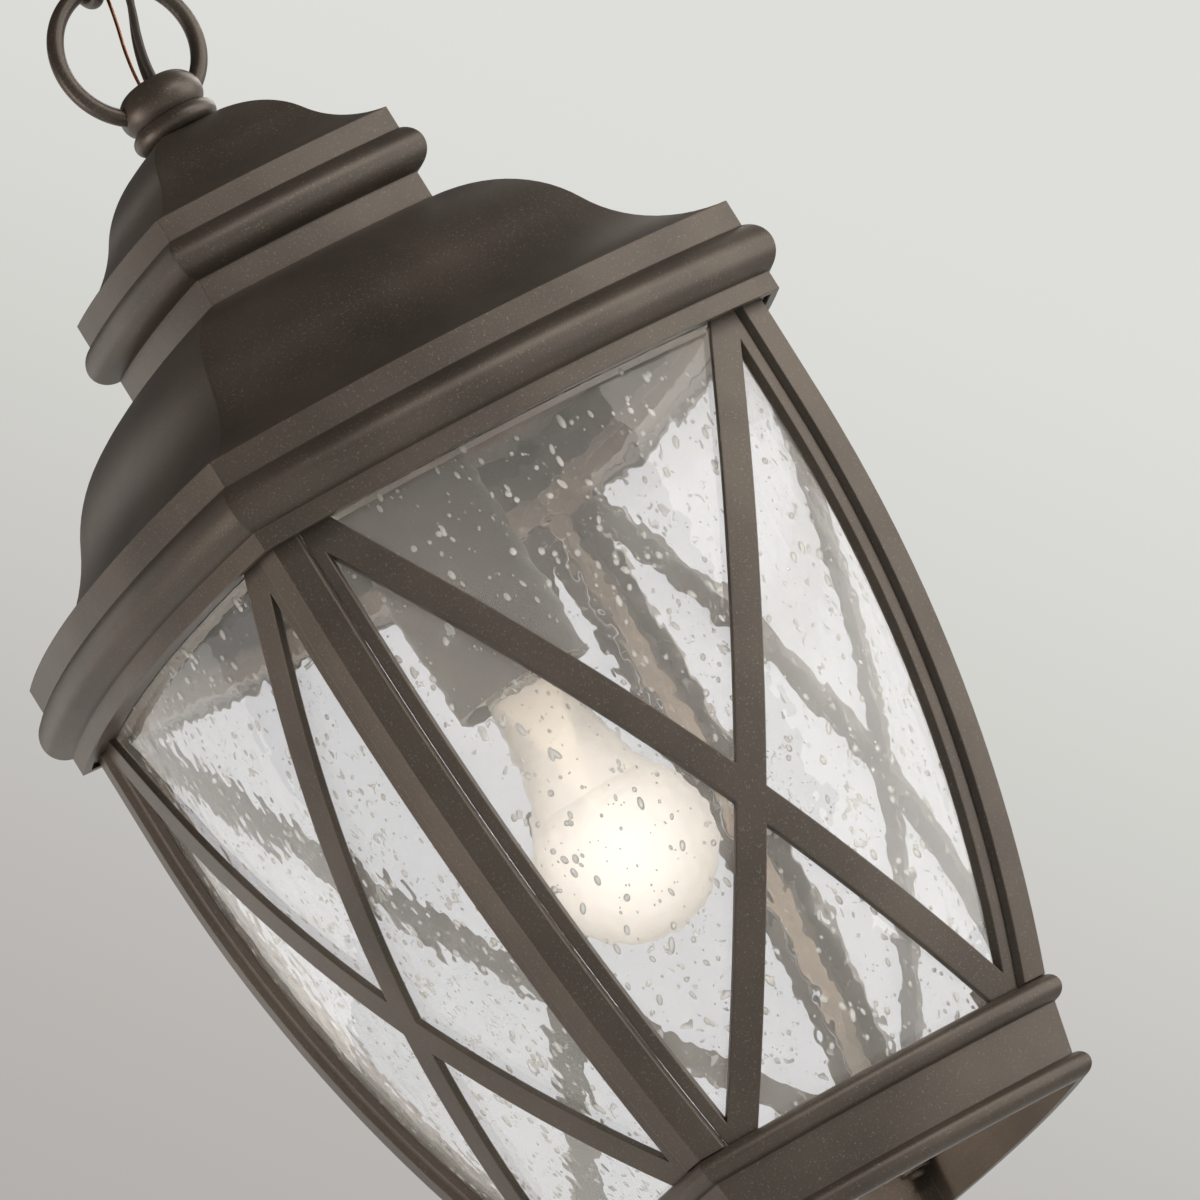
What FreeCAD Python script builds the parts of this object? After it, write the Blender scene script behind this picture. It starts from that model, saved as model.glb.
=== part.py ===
import FreeCAD, Part
import math
import os
import types
import Sketcher

Vector = FreeCAD.Vector
LEFT = 1
RIGHT = -1
SIDES = 4
SIDE_NAMES = ("right", "back", "left", "front")

os.makedirs("parts", exist_ok=True)
doc = FreeCAD.newDocument("hanging_lantern")

# Driving dimensions in millimetres
# Heights of the lantern count from the top edge of the eaves; a reach is the
# distance from the lantern's axis to the middle of one bowed side.
driving = {
    "bow_reach": 273.4,
    "casting_wall": 3.0,
    "ogee_skin": 2.4,
    "eaves_step": 0.4,
    "eaves_fascia": 9.4,
    "eaves_bead": 17.1,
    "eaves_bead_bulge": 5.9,
    "skirt_cover": 6.1,
    "skirt_height": 6.4,
    "roof_rise": 56.0,
    "roof_bulge": 5.2,
    "flange_width": 18.6,
    "riser_reach": 46.4,
    "riser_height": 9.6,
    "crown_bead": 14.9,
    "crown_bead_bulge": 5.4,
    "crown_fascia": 8.1,
    "crown_reach": 48.6,
    "crown_rise": 30.9,
    "crown_bulge": 2.4,
    "crown_top_reach": 11.5,
    "top_frame_depth": 5.0,
    "frame_gap": 0.5,
    "cage_reach": 108.6,
    "cage_straight": 35.3,
    "cage_curve": 194.4,
    "foot_reach": 75.6,
    "post_wall": 3.0,
    "post_leg": 10.4,
    "web_width": 6.4,
    "web_depth": 12.0,
    "lug_length": 12.0,
    "lug_height": 8.0,
    "groove": 0.7,
    "strip_width": 4.9,
    "bar_width": 10.4,
    "bar_thickness": 2.5,
    "lattice_recess": 2.0,
    "cross_top_inset": 4.0,
    "cross_foot_inset": 5.2,
    "glass_gap": 0.3,
    "glass_thickness": 3.0,
    "base_bead": 8.9,
    "base_bead_bulge": 4.3,
    "base_band": 16.9,
    "base_taper": 3.5,
    "base_inset": 1.7,
    "base_lower_bead": 8.1,
    "base_lower_bulge": 3.6,
    "ledge_width": 13.6,
    "ledge_height": 4.0,
    "boss_radius": 5.5,
    "boss_height": 20.0,
    "screw_radius": 1.6,
    "screw_head_radius": 3.0,
    "screw_head_height": 2.2,
    "screw_grip": 5.5,
    "hole_clearance": 0.15,
    "tube_radius": 5.0,
    "tube_bore": 4.0,
    "collar_height": 6.9,
    "collar_radius": 12.4,
    "collar_bulge": 2.5,
    "hub_foot_radius": 12.3,
    "hub_radius": 14.3,
    "hub_waist_height": 7.1,
    "hub_dome": 6.5,
    "hub_top_radius": 6.6,
    "hub_thread": 6.6,
    "ring_radius": 24.1,
    "ring_wire": 2.8,
    "ring_rise": 26.5,
    "washer_radius": 14.0,
    "washer_height": 2.0,
    "nut_flats": 17.0,
    "nut_height": 7.0,
    "cover_radius": 23.75,
    "cover_wall": 1.5,
    "cover_drop": 8.5,
    "cover_height": 82.9,
    "holder_radius": 19.0,
    "holder_drop": 29.5,
    "holder_height": 50.0,
    "holder_thread": 9.0,
    "shell_radius": 14.1,
    "shell_wall": 0.6,
    "shell_height": 29.0,
    "cap_radius": 13.1,
    "cap_height": 27.0,
    "cap_tip": 4.0,
    "cap_clearance": 3.0,
    "bulb_radius": 30.0,
    "bulb_length": 90.3,
    "bulb_neck_radius": 14.6,
    "bulb_neck": 12.0,
    "bulb_wall": 1.0,
    "stem_radius": 5.0,
    "stem_length": 44.0,
    "filament_span": 9.0,
    "filament_wire": 0.7,
    "filament_drop": 16.0,
    "link_wire": 2.0,
    "link_length": 30.0,
    "link_width": 13.0,
    "link_gap": 0.3,
    "loop_radius": 14.0,
    "loop_wire": 3.0,
    "stem_collar_radius": 8.0,
    "stem_dip": 1.5,
    "loop_stem": 24.0,
    "lock_ring_radius": 13.0,
    "lock_ring_height": 4.5,
    "canopy_radius": 65.0,
    "canopy_height": 28.0,
    "canopy_rim": 5.0,
    "canopy_wall": 1.5,
    "canopy_flat": 18.0,
    "canopy_bulge": 6.0,
    "strap_margin": 7.5,
    "strap_width": 22.0,
    "strap_thickness": 2.5,
    "slot_spacing": 89.0,
    "slot_length": 14.0,
    "slot_radius": 2.3,
    "nipple_length": 24.0,
    "strap_nut_flats": 15.0,
    "strap_nut_height": 6.0,
    "cable_radius": 2.6,
    "cable_start": 1.0,
    "cable_swing": 14.6,
    "cable_mouth": 5.5,
    "cable_tail": 10.0,
    "cable_heading": -45.0,
    "ground_radius": 0.6,
    "ground_start": 3.0,
    "ground_swing": 12.0,
    "ground_heading": 20.0,
}

sheet = doc.addObject("Spreadsheet::Sheet", "Sizes")
for row, (name, number) in enumerate(driving.items(), start=1):
    sheet.set("A%d" % row, name)
    sheet.set("B%d" % row, str(number))
    sheet.setAlias("B%d" % row, name)
doc.recompute()


class Size:
    """A length together with the spreadsheet expression that gives it."""

    def __init__(self, text, value):
        self.text = text
        self.value = value

    def joined(self, other, sign, value):
        return Size("(%s %s %s)" % (self.text, sign, as_size(other).text), value)

    def __add__(self, other):
        return self.joined(other, "+", self.value + as_size(other).value)

    def __sub__(self, other):
        return self.joined(other, "-", self.value - as_size(other).value)

    def __mul__(self, other):
        return self.joined(other, "*", self.value * as_size(other).value)

    def __truediv__(self, other):
        return self.joined(other, "/", self.value / as_size(other).value)

    def __neg__(self):
        return Size("(-%s)" % self.text, -self.value)


def as_size(number):
    if isinstance(number, Size):
        return number
    return Size("%.6f" % number, float(number))


def root(square):
    return Size("sqrt(%s)" % square.text, math.sqrt(square.value))


ZERO = as_size(0)
cells = {name: Size("Sizes." + name, float(sheet.get(name))) for name in driving}
s = types.SimpleNamespace(**cells)


def corner_of(reach):
    """Half width at the mitred corner of a bowed side whose middle is at this reach."""
    arc = reach + s.bow_reach
    return (root(arc * arc * 2 - s.bow_reach * s.bow_reach) - s.bow_reach) / 2


def arc_radius(start, end, bulge):
    """Radius of the arc between two points that rises by this bulge above its chord."""
    across = end[0] - start[0]
    along = end[1] - start[1]
    return (across * across + along * along) / (bulge * 8) + bulge / 2


# Reaches that follow the cage: the skirt covers its top and the base carries its foot
skirt_reach = s.cage_reach + s.skirt_cover
eaves_reach = skirt_reach + s.eaves_step
flange_reach = s.cage_reach - s.flange_width
base_neck = s.foot_reach - s.base_inset
ledge_reach = s.foot_reach - s.ledge_width

# Heights above and below the eaves
skirt_top = -(s.eaves_fascia + s.eaves_bead)
skirt_bottom = skirt_top - s.skirt_height
cage_top = skirt_top - s.top_frame_depth
cage_bend = cage_top - s.cage_straight
base_top = cage_bend - s.cage_curve
base_band_top = base_top - s.base_bead
base_band_bottom = base_band_top - s.base_band
base_bottom = base_band_bottom - s.base_lower_bead
crown_bottom = s.roof_rise
crown_bead_bottom = crown_bottom + s.riser_height
crown_bead_top = crown_bead_bottom + s.crown_bead
crown_eaves = crown_bead_top + s.crown_fascia
crown_top = crown_eaves + s.crown_rise
hub_bottom = crown_top + s.collar_height
hub_waist = hub_bottom + s.hub_waist_height
hub_top = hub_waist + s.hub_dome
ring_centre = hub_bottom + s.ring_rise
ring_inside_top = ring_centre + s.ring_radius - s.ring_wire
link_bottoms = [ring_inside_top - s.link_gap]
link_bottoms.append(link_bottoms[0] + s.link_length - s.link_gap)
loop_inside_bottom = link_bottoms[1] + s.link_length - s.link_gap
loop_centre = loop_inside_bottom + s.loop_radius - s.loop_wire
loop_top = loop_centre + s.loop_radius + s.loop_wire
stem_bottom = loop_centre + s.loop_radius - s.loop_wire - s.stem_dip
stem_top = stem_bottom + s.loop_stem
lock_ring_bottom = loop_top + s.hole_clearance
canopy_bottom = lock_ring_bottom + s.lock_ring_height
ceiling = canopy_bottom + s.canopy_height


# Drawing helpers
def place(item, quarter_turns=0):
    """Hang a piece below the ceiling, turned to its side of the lantern."""
    turn = FreeCAD.Rotation(Vector(0, 0, 1), 360.0 / SIDES * quarter_turns)
    item.Placement = FreeCAD.Placement(Vector(0, 0, -ceiling.value), turn)
    item.setExpression("Placement.Base.z", (-ceiling).text)


def new_body(label, quarter_turns=0):
    body = doc.addObject("PartDesign::Body", label)
    body.Label = label
    body.AllowCompound = True
    place(body, quarter_turns)
    return body


def origin_feature(body, role):
    return [item for item in body.Origin.OriginFeatures if item.Role == role][0]


def new_sketch(body, role, height=ZERO):
    sketch = body.newObject("Sketcher::SketchObject", body.Label + "_sketch")
    sketch.AttachmentSupport = [(origin_feature(body, role), "")]
    sketch.MapMode = "FlatFace"
    sketch.AttachmentOffset = FreeCAD.Placement(Vector(0, 0, height.value), FreeCAD.Rotation())
    sketch.setExpression("AttachmentOffset.Base.z", height.text)
    return sketch


def bind(sketch, constraint, size):
    index = sketch.addConstraint(constraint)
    sketch.setExpression("Constraints[%d]" % index, size.text)


def edge_between(start, end, radius, side):
    """An arc of this radius that curves to the left or right on its way from start to end."""
    chord = end - start
    middle = (start + end) * 0.5
    leftward = Vector(-chord.y, chord.x, 0).normalize()
    depth = math.sqrt(max(radius * radius - chord.Length ** 2 / 4, 0.0))
    centre = middle + leftward * (depth * side)
    first, last = (start, end) if side == LEFT else (end, start)
    from_angle = math.atan2(first.y - centre.y, first.x - centre.x)
    to_angle = math.atan2(last.y - centre.y, last.x - centre.x)
    if to_angle < from_angle:
        to_angle += 2 * math.pi
    return Part.ArcOfCircle(Part.Circle(centre, Vector(0, 0, 1), radius), from_angle, to_angle)


def outline(sketch, corners):
    """Draw a closed outline; a corner may name the radius and side of the arc that leaves it."""
    count = len(corners)
    points = [Vector(corner[0].value, corner[1].value, 0) for corner in corners]
    ends = []
    for index, corner in enumerate(corners):
        start = points[index]
        end = points[(index + 1) % count]
        if len(corner) == 4:
            edge = edge_between(start, end, corner[2].value, corner[3])
            tips = (1, 2) if corner[3] == LEFT else (2, 1)
        else:
            edge = Part.LineSegment(start, end)
            tips = (1, 2)
        ends.append((sketch.addGeometry(edge, False), tips))
    for index, corner in enumerate(corners):
        edge, tips = ends[index]
        following, following_tips = ends[(index + 1) % count]
        sketch.addConstraint(
            Sketcher.Constraint("Coincident", edge, tips[1], following, following_tips[0])
        )
    for index, corner in enumerate(corners):
        edge, tips = ends[index]
        bind(sketch, Sketcher.Constraint("DistanceX", edge, tips[0], corner[0].value), corner[0])
        bind(sketch, Sketcher.Constraint("DistanceY", edge, tips[0], corner[1].value), corner[1])
        if len(corner) == 4:
            bind(sketch, Sketcher.Constraint("Radius", edge, corner[2].value), corner[2])


def circle(sketch, across, along, radius):
    centre = Vector(across.value, along.value, 0)
    ring = sketch.addGeometry(Part.Circle(centre, Vector(0, 0, 1), radius.value), False)
    bind(sketch, Sketcher.Constraint("DistanceX", ring, 3, across.value), across)
    bind(sketch, Sketcher.Constraint("DistanceY", ring, 3, along.value), along)
    bind(sketch, Sketcher.Constraint("Radius", ring, radius.value), radius)


def pocket(body, sketch):
    """Cut a drawing through the whole piece, both ways."""
    cut = body.newObject("PartDesign::Pocket", body.Label + "_cut")
    cut.Profile = sketch
    cut.Type = "ThroughAll"
    cut.Midplane = True


def pad(body, sketch, length, downwards=False):
    block = body.newObject("PartDesign::Pad", body.Label + "_pad")
    block.Profile = sketch
    block.Length = length.value
    block.setExpression("Length", length.text)
    block.Reversed = downwards


def blind_hole(body, sketch, depth, upwards=True):
    """A hole from the drawing's level into the piece."""
    doc.recompute()
    before = body.Shape.Volume
    cut = body.newObject("PartDesign::Pocket", body.Label + "_hole")
    cut.Profile = sketch
    cut.Length = depth.value
    cut.setExpression("Length", depth.text)
    cut.Reversed = upwards
    doc.recompute()
    if not cut.Shape.Volume < before:
        raise ValueError("hole cuts nothing in " + body.Label)


def turned(label, corners):
    """A round piece turned about the lantern's axis."""
    body = new_body(label)
    sketch = new_sketch(body, "XZ_Plane")
    outline(sketch, corners)
    round_solid = body.newObject("PartDesign::Revolution", label + "_turned")
    round_solid.Profile = sketch
    round_solid.ReferenceAxis = (sketch, ["V_Axis"])
    round_solid.Angle = 360
    return body


def bowed(body, corners):
    """Sweep a side's section about the far vertical axis that gives the side its bow."""
    sketch = new_sketch(body, "XZ_Plane")
    outline(sketch, corners)
    low = Vector(-s.bow_reach.value, base_bottom.value, 0)
    high = Vector(-s.bow_reach.value, crown_top.value, 0)
    axis = sketch.addGeometry(Part.LineSegment(low, high), True)
    sketch.addConstraint(Sketcher.Constraint("Vertical", axis))
    bind(sketch, Sketcher.Constraint("DistanceX", axis, 1, low.x), -s.bow_reach)
    side = body.newObject("PartDesign::Revolution", body.Label + "_bow")
    side.Profile = sketch
    side.ReferenceAxis = (sketch, ["Axis0"])
    side.Angle = 360.0 / SIDES
    side.Midplane = True


def trim_to_wedge(body, inset=ZERO):
    """Keep one side between the two mitre planes, each moved in by the inset."""
    far = s.bow_reach + eaves_reach
    sketch = new_sketch(body, "XY_Plane")
    outline(sketch, [
        (inset, ZERO),
        (far + inset, far),
        (-far, far),
        (-far, -far),
        (far + inset, -far),
    ])
    pocket(body, sketch)


def trim_to_strip(body, inner, outer=ZERO):
    """Keep the strip beside the mitre plane, from outer to inner along the side."""
    far = s.bow_reach + eaves_reach
    sketch = new_sketch(body, "XY_Plane")
    outline(sketch, [(-far, -far - outer), (far, far - outer), (-far, far)])
    outline(sketch, [(-far, -far - inner), (far, -far - inner), (far, far - inner)])
    pocket(body, sketch)


def repeat_sides(body):
    pattern = body.newObject("PartDesign::PolarPattern", body.Label + "_sides")
    pattern.TransformMode = "Whole shape"
    pattern.Axis = (origin_feature(body, "Z_Axis"), [""])
    pattern.Angle = 360
    pattern.Occurrences = SIDES
    body.Tip = pattern
    doc.recompute()


def four_sided(label, corners):
    """A casting with four bowed sides that meet in mitred corners."""
    body = new_body(label)
    bowed(body, corners)
    trim_to_wedge(body)
    repeat_sides(body)
    return body


def round_hole(body, radius):
    sketch = new_sketch(body, "XY_Plane")
    circle(sketch, ZERO, ZERO, radius)
    pocket(body, sketch)


def four_circles(body, level, half_width, radius):
    """One circle near each corner of the lantern, drawn at this level."""
    sketch = new_sketch(body, "XY_Plane", level)
    for across in (half_width, -half_width):
        circle(sketch, across, half_width, radius)
        circle(sketch, across, -half_width, radius)
    return sketch


def corner_holes(body, level, half_width, radius, height):
    """Screw holes from this level upwards, one near each corner."""
    blind_hole(body, four_circles(body, level, half_width, radius), height)


def hex_nut(label, bottom, flats, height):
    """A hexagon nut on the threaded tube."""
    block = doc.addObject("Part::Prism", label + "_block")
    block.Polygon = 6
    block.setExpression("Circumradius", (flats / math.sqrt(3)).text)
    block.setExpression("Height", height.text)
    block.setExpression("Placement.Base.z", bottom.text)
    bore = doc.addObject("Part::Cylinder", label + "_bore")
    bore.setExpression("Radius", (s.tube_radius + s.hole_clearance).text)
    bore.setExpression("Height", height.text)
    bore.setExpression("Placement.Base.z", bottom.text)
    nut = doc.addObject("Part::Cut", label)
    nut.Base = block
    nut.Tool = bore
    return nut


nodes = []


def keep(item, label):
    item.Label = label
    nodes.append(item)


# Crown and roof: two castings with a reversed curve above a fascia and a bead
crown_start = (s.crown_top_reach, crown_top)
crown_middle = ((s.crown_top_reach + s.crown_reach) / 2, crown_eaves + s.crown_rise / 2)
crown_end = (s.crown_reach, crown_eaves)
crown_curve = arc_radius(crown_start, crown_middle, s.crown_bulge)
crown_bead_radius = arc_radius(
    (s.crown_reach, crown_bead_top), (s.riser_reach, crown_bead_bottom), s.crown_bead_bulge
)
tube_hole = s.tube_radius + s.hole_clearance * 2

crown = four_sided("crown", [
    (ZERO, crown_top),
    crown_start + (crown_curve, RIGHT),
    crown_middle + (crown_curve, LEFT),
    crown_end,
    (s.crown_reach, crown_bead_top, crown_bead_radius, RIGHT),
    (s.riser_reach, crown_bead_bottom),
    (s.riser_reach, crown_bottom),
    (s.riser_reach - s.casting_wall, crown_bottom),
    (s.riser_reach - s.casting_wall, crown_bead_top),
    (s.crown_reach - s.ogee_skin, crown_eaves - s.ogee_skin, crown_curve, RIGHT),
    (crown_middle[0] - s.ogee_skin, crown_middle[1] - s.ogee_skin, crown_curve, LEFT),
    (s.crown_top_reach - s.ogee_skin, crown_top - s.ogee_skin),
    (ZERO, crown_top - s.ogee_skin),
])
round_hole(crown, tube_hole)
keep(crown, "crown")

roof_start = (s.riser_reach, s.roof_rise)
roof_middle = ((s.riser_reach + eaves_reach) / 2, s.roof_rise / 2)
roof_end = (eaves_reach, ZERO)
roof_curve = arc_radius(roof_start, roof_middle, s.roof_bulge)
eaves_bead_radius = arc_radius(
    (eaves_reach, -s.eaves_fascia), (skirt_reach, skirt_top), s.eaves_bead_bulge
)
skirt_inside = skirt_reach - s.casting_wall
flange_top = skirt_top + s.casting_wall
roof_plate = s.roof_rise - s.ogee_skin
frame_screw_reach = flange_reach + (skirt_inside - flange_reach) / 3
frame_screw_place = corner_of(frame_screw_reach)
screw_hole = s.screw_radius + s.hole_clearance

roof = four_sided("roof", [
    (ZERO, s.roof_rise),
    roof_start + (roof_curve, RIGHT),
    roof_middle + (roof_curve, LEFT),
    roof_end,
    (eaves_reach, -s.eaves_fascia, eaves_bead_radius, RIGHT),
    (skirt_reach, skirt_top),
    (skirt_reach, skirt_bottom),
    (skirt_inside, skirt_bottom),
    (skirt_inside, skirt_top),
    (flange_reach, skirt_top),
    (flange_reach, flange_top),
    (skirt_inside, flange_top),
    (eaves_reach - s.ogee_skin - s.casting_wall, -s.eaves_fascia),
    (eaves_reach - s.ogee_skin, -s.ogee_skin, roof_curve, RIGHT),
    (roof_middle[0] - s.ogee_skin, roof_middle[1] - s.ogee_skin, roof_curve, LEFT),
    (s.riser_reach - s.ogee_skin, roof_plate),
    (ZERO, roof_plate),
])
round_hole(roof, tube_hole)
corner_holes(roof, skirt_top, frame_screw_place, screw_hole, s.casting_wall)
keep(roof, "roof")

# Top frame: the ring under the roof's flange that the cage hangs from
top_frame = four_sided("top_frame", [
    (skirt_inside - s.frame_gap, skirt_top),
    (skirt_inside - s.frame_gap, cage_top),
    (flange_reach, cage_top),
    (flange_reach, skirt_top),
])
corner_holes(top_frame, cage_top, frame_screw_place, screw_hole, s.top_frame_depth)
keep(top_frame, "top_frame")

# Barrel of the cage: every layer is a straight band above one long arc
cage_taper = s.cage_reach - s.foot_reach
barrel_radius = (s.cage_curve * s.cage_curve + cage_taper * cage_taper) / (cage_taper * 2)


def foot_of(depth):
    """Reach, on the base's top, of the layer this far inside the posts' outer face."""
    arc = barrel_radius - depth
    return s.cage_reach - barrel_radius + root(arc * arc - s.cage_curve * s.cage_curve)


def barrel_layer(outer, inner):
    return [
        (s.cage_reach - outer, cage_top),
        (s.cage_reach - outer, cage_bend, barrel_radius - outer, RIGHT),
        (foot_of(outer), base_top),
        (foot_of(inner), base_top, barrel_radius - inner, LEFT),
        (s.cage_reach - inner, cage_bend),
        (s.cage_reach - inner, cage_top),
    ]


# Corner posts: two legs on the outside, a web between the panes and a screw lug at each end
base_screw_place = corner_of(ledge_reach) - s.boss_radius / 4
web_side = s.web_width / math.sqrt(2)


def lug_outline(middle):
    half_length = s.lug_length / math.sqrt(8)
    inner = middle - half_length
    outer = middle + half_length
    return [
        (inner, inner),
        (outer, outer),
        (outer + web_side / 2, outer - web_side / 2),
        (inner + web_side / 2, inner - web_side / 2),
    ]


def diagonal_plane(body):
    plane = body.newObject("PartDesign::Plane", body.Label + "_diagonal")
    plane.AttachmentSupport = [(origin_feature(body, "XZ_Plane"), "")]
    plane.MapMode = "FlatFace"
    plane.AttachmentOffset = FreeCAD.Placement(Vector(0, 0, 0), FreeCAD.Rotation(Vector(0, 1, 0), 45))
    return plane


def corner_post(label, quarter_turns):
    body = new_body(label, quarter_turns)
    bowed(body, barrel_layer(s.post_wall, s.web_depth))
    trim_to_strip(body, web_side)
    bowed(body, barrel_layer(ZERO, s.post_wall))
    trim_to_strip(body, s.post_leg)
    for middle, level, downwards in (
        (frame_screw_place, cage_top, True),
        (base_screw_place, base_top, False),
    ):
        sketch = new_sketch(body, "XY_Plane", level)
        outline(sketch, lug_outline(middle))
        pad(body, sketch, s.lug_height, downwards)
    plane = diagonal_plane(body)
    doc.recompute()
    mirror = body.newObject("PartDesign::Mirrored", label + "_both_legs")
    mirror.TransformMode = "Whole shape"
    mirror.MirrorPlane = (plane, [""])
    body.Tip = mirror
    doc.recompute()
    for middle, level, upwards in (
        (frame_screw_place, cage_top, False),
        (base_screw_place, base_top, True),
    ):
        sketch = new_sketch(body, "XY_Plane", level)
        circle(sketch, middle, middle, screw_hole)
        blind_hole(body, sketch, s.screw_grip + s.hole_clearance, upwards)
    return body


for turns in range(SIDES):
    name = "corner_post_%d" % (turns + 1)
    keep(corner_post(name, turns), name)

# Lattice: a crossed pair of bars between two side strips, bent to the barrel
# The bars run from corner to corner, so their ends set both the slope and the crossing.
lattice_inset = s.post_leg + s.groove
lattice_height = s.cage_straight + s.cage_curve
cross_top = corner_of(s.cage_reach) - lattice_inset - s.cross_top_inset
cross_foot = corner_of(s.foot_reach) - lattice_inset - s.cross_foot_inset
cross_slope = (cross_top + cross_foot) / lattice_height
cross_height = cage_top - cross_top / cross_slope
bar_reach = s.cage_reach * 2
bar_length = lattice_height * 2
bar_angle = math.degrees(math.atan(cross_slope.value))


def lattice_bar(label, lean):
    """One long bar, seen square on, leaning by this many degrees."""
    bar = doc.addObject("Part::Box", label)
    bar.setExpression("Length", bar_reach.text)
    bar.setExpression("Width", s.bar_width.text)
    bar.setExpression("Height", bar_length.text)
    upright = FreeCAD.Rotation(Vector(1, 0, 0), lean)
    corner = upright.multVec(Vector(0, -s.bar_width.value / 2, -bar_length.value / 2))
    bar.Placement = FreeCAD.Placement(corner + Vector(0, 0, cross_height.value), upright)
    return bar


def lattice(label, quarter_turns):
    layer = barrel_layer(s.lattice_recess, s.lattice_recess + s.bar_thickness)
    panel = new_body(label + "_panel")
    bowed(panel, layer)
    trim_to_wedge(panel, lattice_inset)
    inside = new_body(label + "_inside")
    bowed(inside, layer)
    trim_to_wedge(inside, lattice_inset + s.strip_width)
    strips = doc.addObject("Part::Cut", label + "_strips")
    strips.Base = panel
    strips.Tool = inside
    cross = doc.addObject("Part::Fuse", label + "_cross")
    cross.Base = lattice_bar(label + "_bar_up", bar_angle)
    cross.Tool = lattice_bar(label + "_bar_down", -bar_angle)
    bars = doc.addObject("Part::Common", label + "_bars")
    bars.Base = panel
    bars.Tool = cross
    for item in (panel, inside):
        item.setExpression("Placement.Base.z", None)
        item.Placement = FreeCAD.Placement()
    joined = doc.addObject("Part::Fuse", label)
    joined.Base = strips
    joined.Tool = bars
    joined.Refine = True
    doc.recompute()
    place(joined, quarter_turns)
    return joined


for turns, side_name in enumerate(SIDE_NAMES):
    name = "lattice_" + side_name
    keep(lattice(name, turns), name)

# Glass: a bent pane behind each lattice, between the posts' webs
glass_outer = s.lattice_recess + s.bar_thickness + s.glass_gap
for turns, side_name in enumerate(SIDE_NAMES):
    name = "glass_" + side_name
    pane = new_body(name, turns)
    bowed(pane, barrel_layer(glass_outer, glass_outer + s.glass_thickness))
    trim_to_wedge(pane, web_side + s.glass_gap * 2)
    keep(pane, name)

# Base frame: two beads above and below a tapered band, open underneath
base_upper_radius = arc_radius((base_neck, base_top), (base_neck, base_band_top), s.base_bead_bulge)
base_foot = base_neck - s.base_taper
base_lower_radius = arc_radius(
    (base_foot, base_band_bottom), (base_foot, base_bottom), s.base_lower_bulge
)
ledge_bottom = base_top - s.ledge_height

base_frame = four_sided("base_frame", [
    (ledge_reach, base_top),
    (base_neck, base_top, base_upper_radius, RIGHT),
    (base_neck, base_band_top),
    (base_foot, base_band_bottom, base_lower_radius, RIGHT),
    (base_foot, base_bottom),
    (base_foot - s.casting_wall, base_bottom),
    (base_foot - s.casting_wall, base_band_bottom),
    (base_neck - s.casting_wall, ledge_bottom),
    (ledge_reach, ledge_bottom),
])
boss_bottom = base_top - s.boss_height
pad(base_frame, four_circles(base_frame, base_top, base_screw_place, s.boss_radius), s.boss_height, True)
corner_holes(base_frame, boss_bottom, base_screw_place, screw_hole, s.boss_height)
keep(base_frame, "base_frame")


# Screws that clamp the roof, top frame and posts, and the posts and base
def corner_screws(label, half_width, seat, shank, upwards):
    """Four pan-head screws; the head lies on the seat and the shank runs the other way."""
    body = new_body(label)
    head = new_sketch(body, "XY_Plane", seat)
    circle(head, half_width, half_width, s.screw_head_radius)
    pad(body, head, s.screw_head_height, upwards)
    rod = new_sketch(body, "XY_Plane", seat)
    circle(rod, half_width, half_width, s.screw_radius)
    pad(body, rod, shank, not upwards)
    repeat_sides(body)
    keep(body, label)


corner_screws(
    "frame_screws", frame_screw_place, flange_top,
    s.casting_wall + s.top_frame_depth + s.screw_grip, False,
)
corner_screws(
    "base_screws", base_screw_place, boss_bottom, s.boss_height + s.screw_grip, True,
)

# Hub, collar and ring on top of the crown
keep(turned("hub_collar", [
    (s.tube_radius + s.hole_clearance, crown_top),
    (s.collar_radius, crown_top,
     arc_radius((s.collar_radius, crown_top), (s.collar_radius, hub_bottom), s.collar_bulge), LEFT),
    (s.collar_radius, hub_bottom),
    (s.tube_radius + s.hole_clearance, hub_bottom),
]), "hub_collar")

hub_side_radius = arc_radius((s.hub_foot_radius, hub_bottom), (s.hub_radius, hub_waist), s.hub_dome / 6)
hub_dome_radius = arc_radius(
    (s.hub_radius, hub_waist), (s.hub_top_radius, hub_top), s.hub_dome / 4
)
tube_top = hub_bottom + s.hub_thread
hub = turned("ring_hub", [
    (s.tube_radius + s.hole_clearance, hub_bottom),
    (s.hub_foot_radius, hub_bottom, hub_side_radius, LEFT),
    (s.hub_radius, hub_waist, hub_dome_radius, LEFT),
    (s.hub_top_radius, hub_top),
    (s.cable_mouth, hub_top),
    (s.cable_mouth, tube_top),
    (s.tube_radius + s.hole_clearance, tube_top),
])
keep(hub, "ring_hub")

hoop = doc.addObject("Part::Torus", "ring_hoop")
hoop.setExpression("Radius1", s.ring_radius.text)
hoop.setExpression("Radius2", s.ring_wire.text)
hoop.Placement = FreeCAD.Placement(Vector(0, 0, 0), FreeCAD.Rotation(Vector(1, 0, 0), 90))
hoop.setExpression("Placement.Base.z", (ring_centre - ceiling).text)
hub_space = doc.addObject("Part::Cylinder", "ring_hub_space")
hub_space.setExpression("Radius", (s.hub_foot_radius - s.casting_wall / 3).text)
hub_space.setExpression("Height", (hub_top - crown_top).text)
hub_space.setExpression("Placement.Base.z", (crown_top - ceiling).text)
hub_block = doc.addObject("Part::Fuse", "ring_hub_block")
hub_block.Base = hub
hub_block.Tool = hub_space
ring = doc.addObject("Part::Cut", "hanging_ring")
ring.Base = hoop
ring.Tool = hub_block
keep(ring, "hanging_ring")

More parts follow.
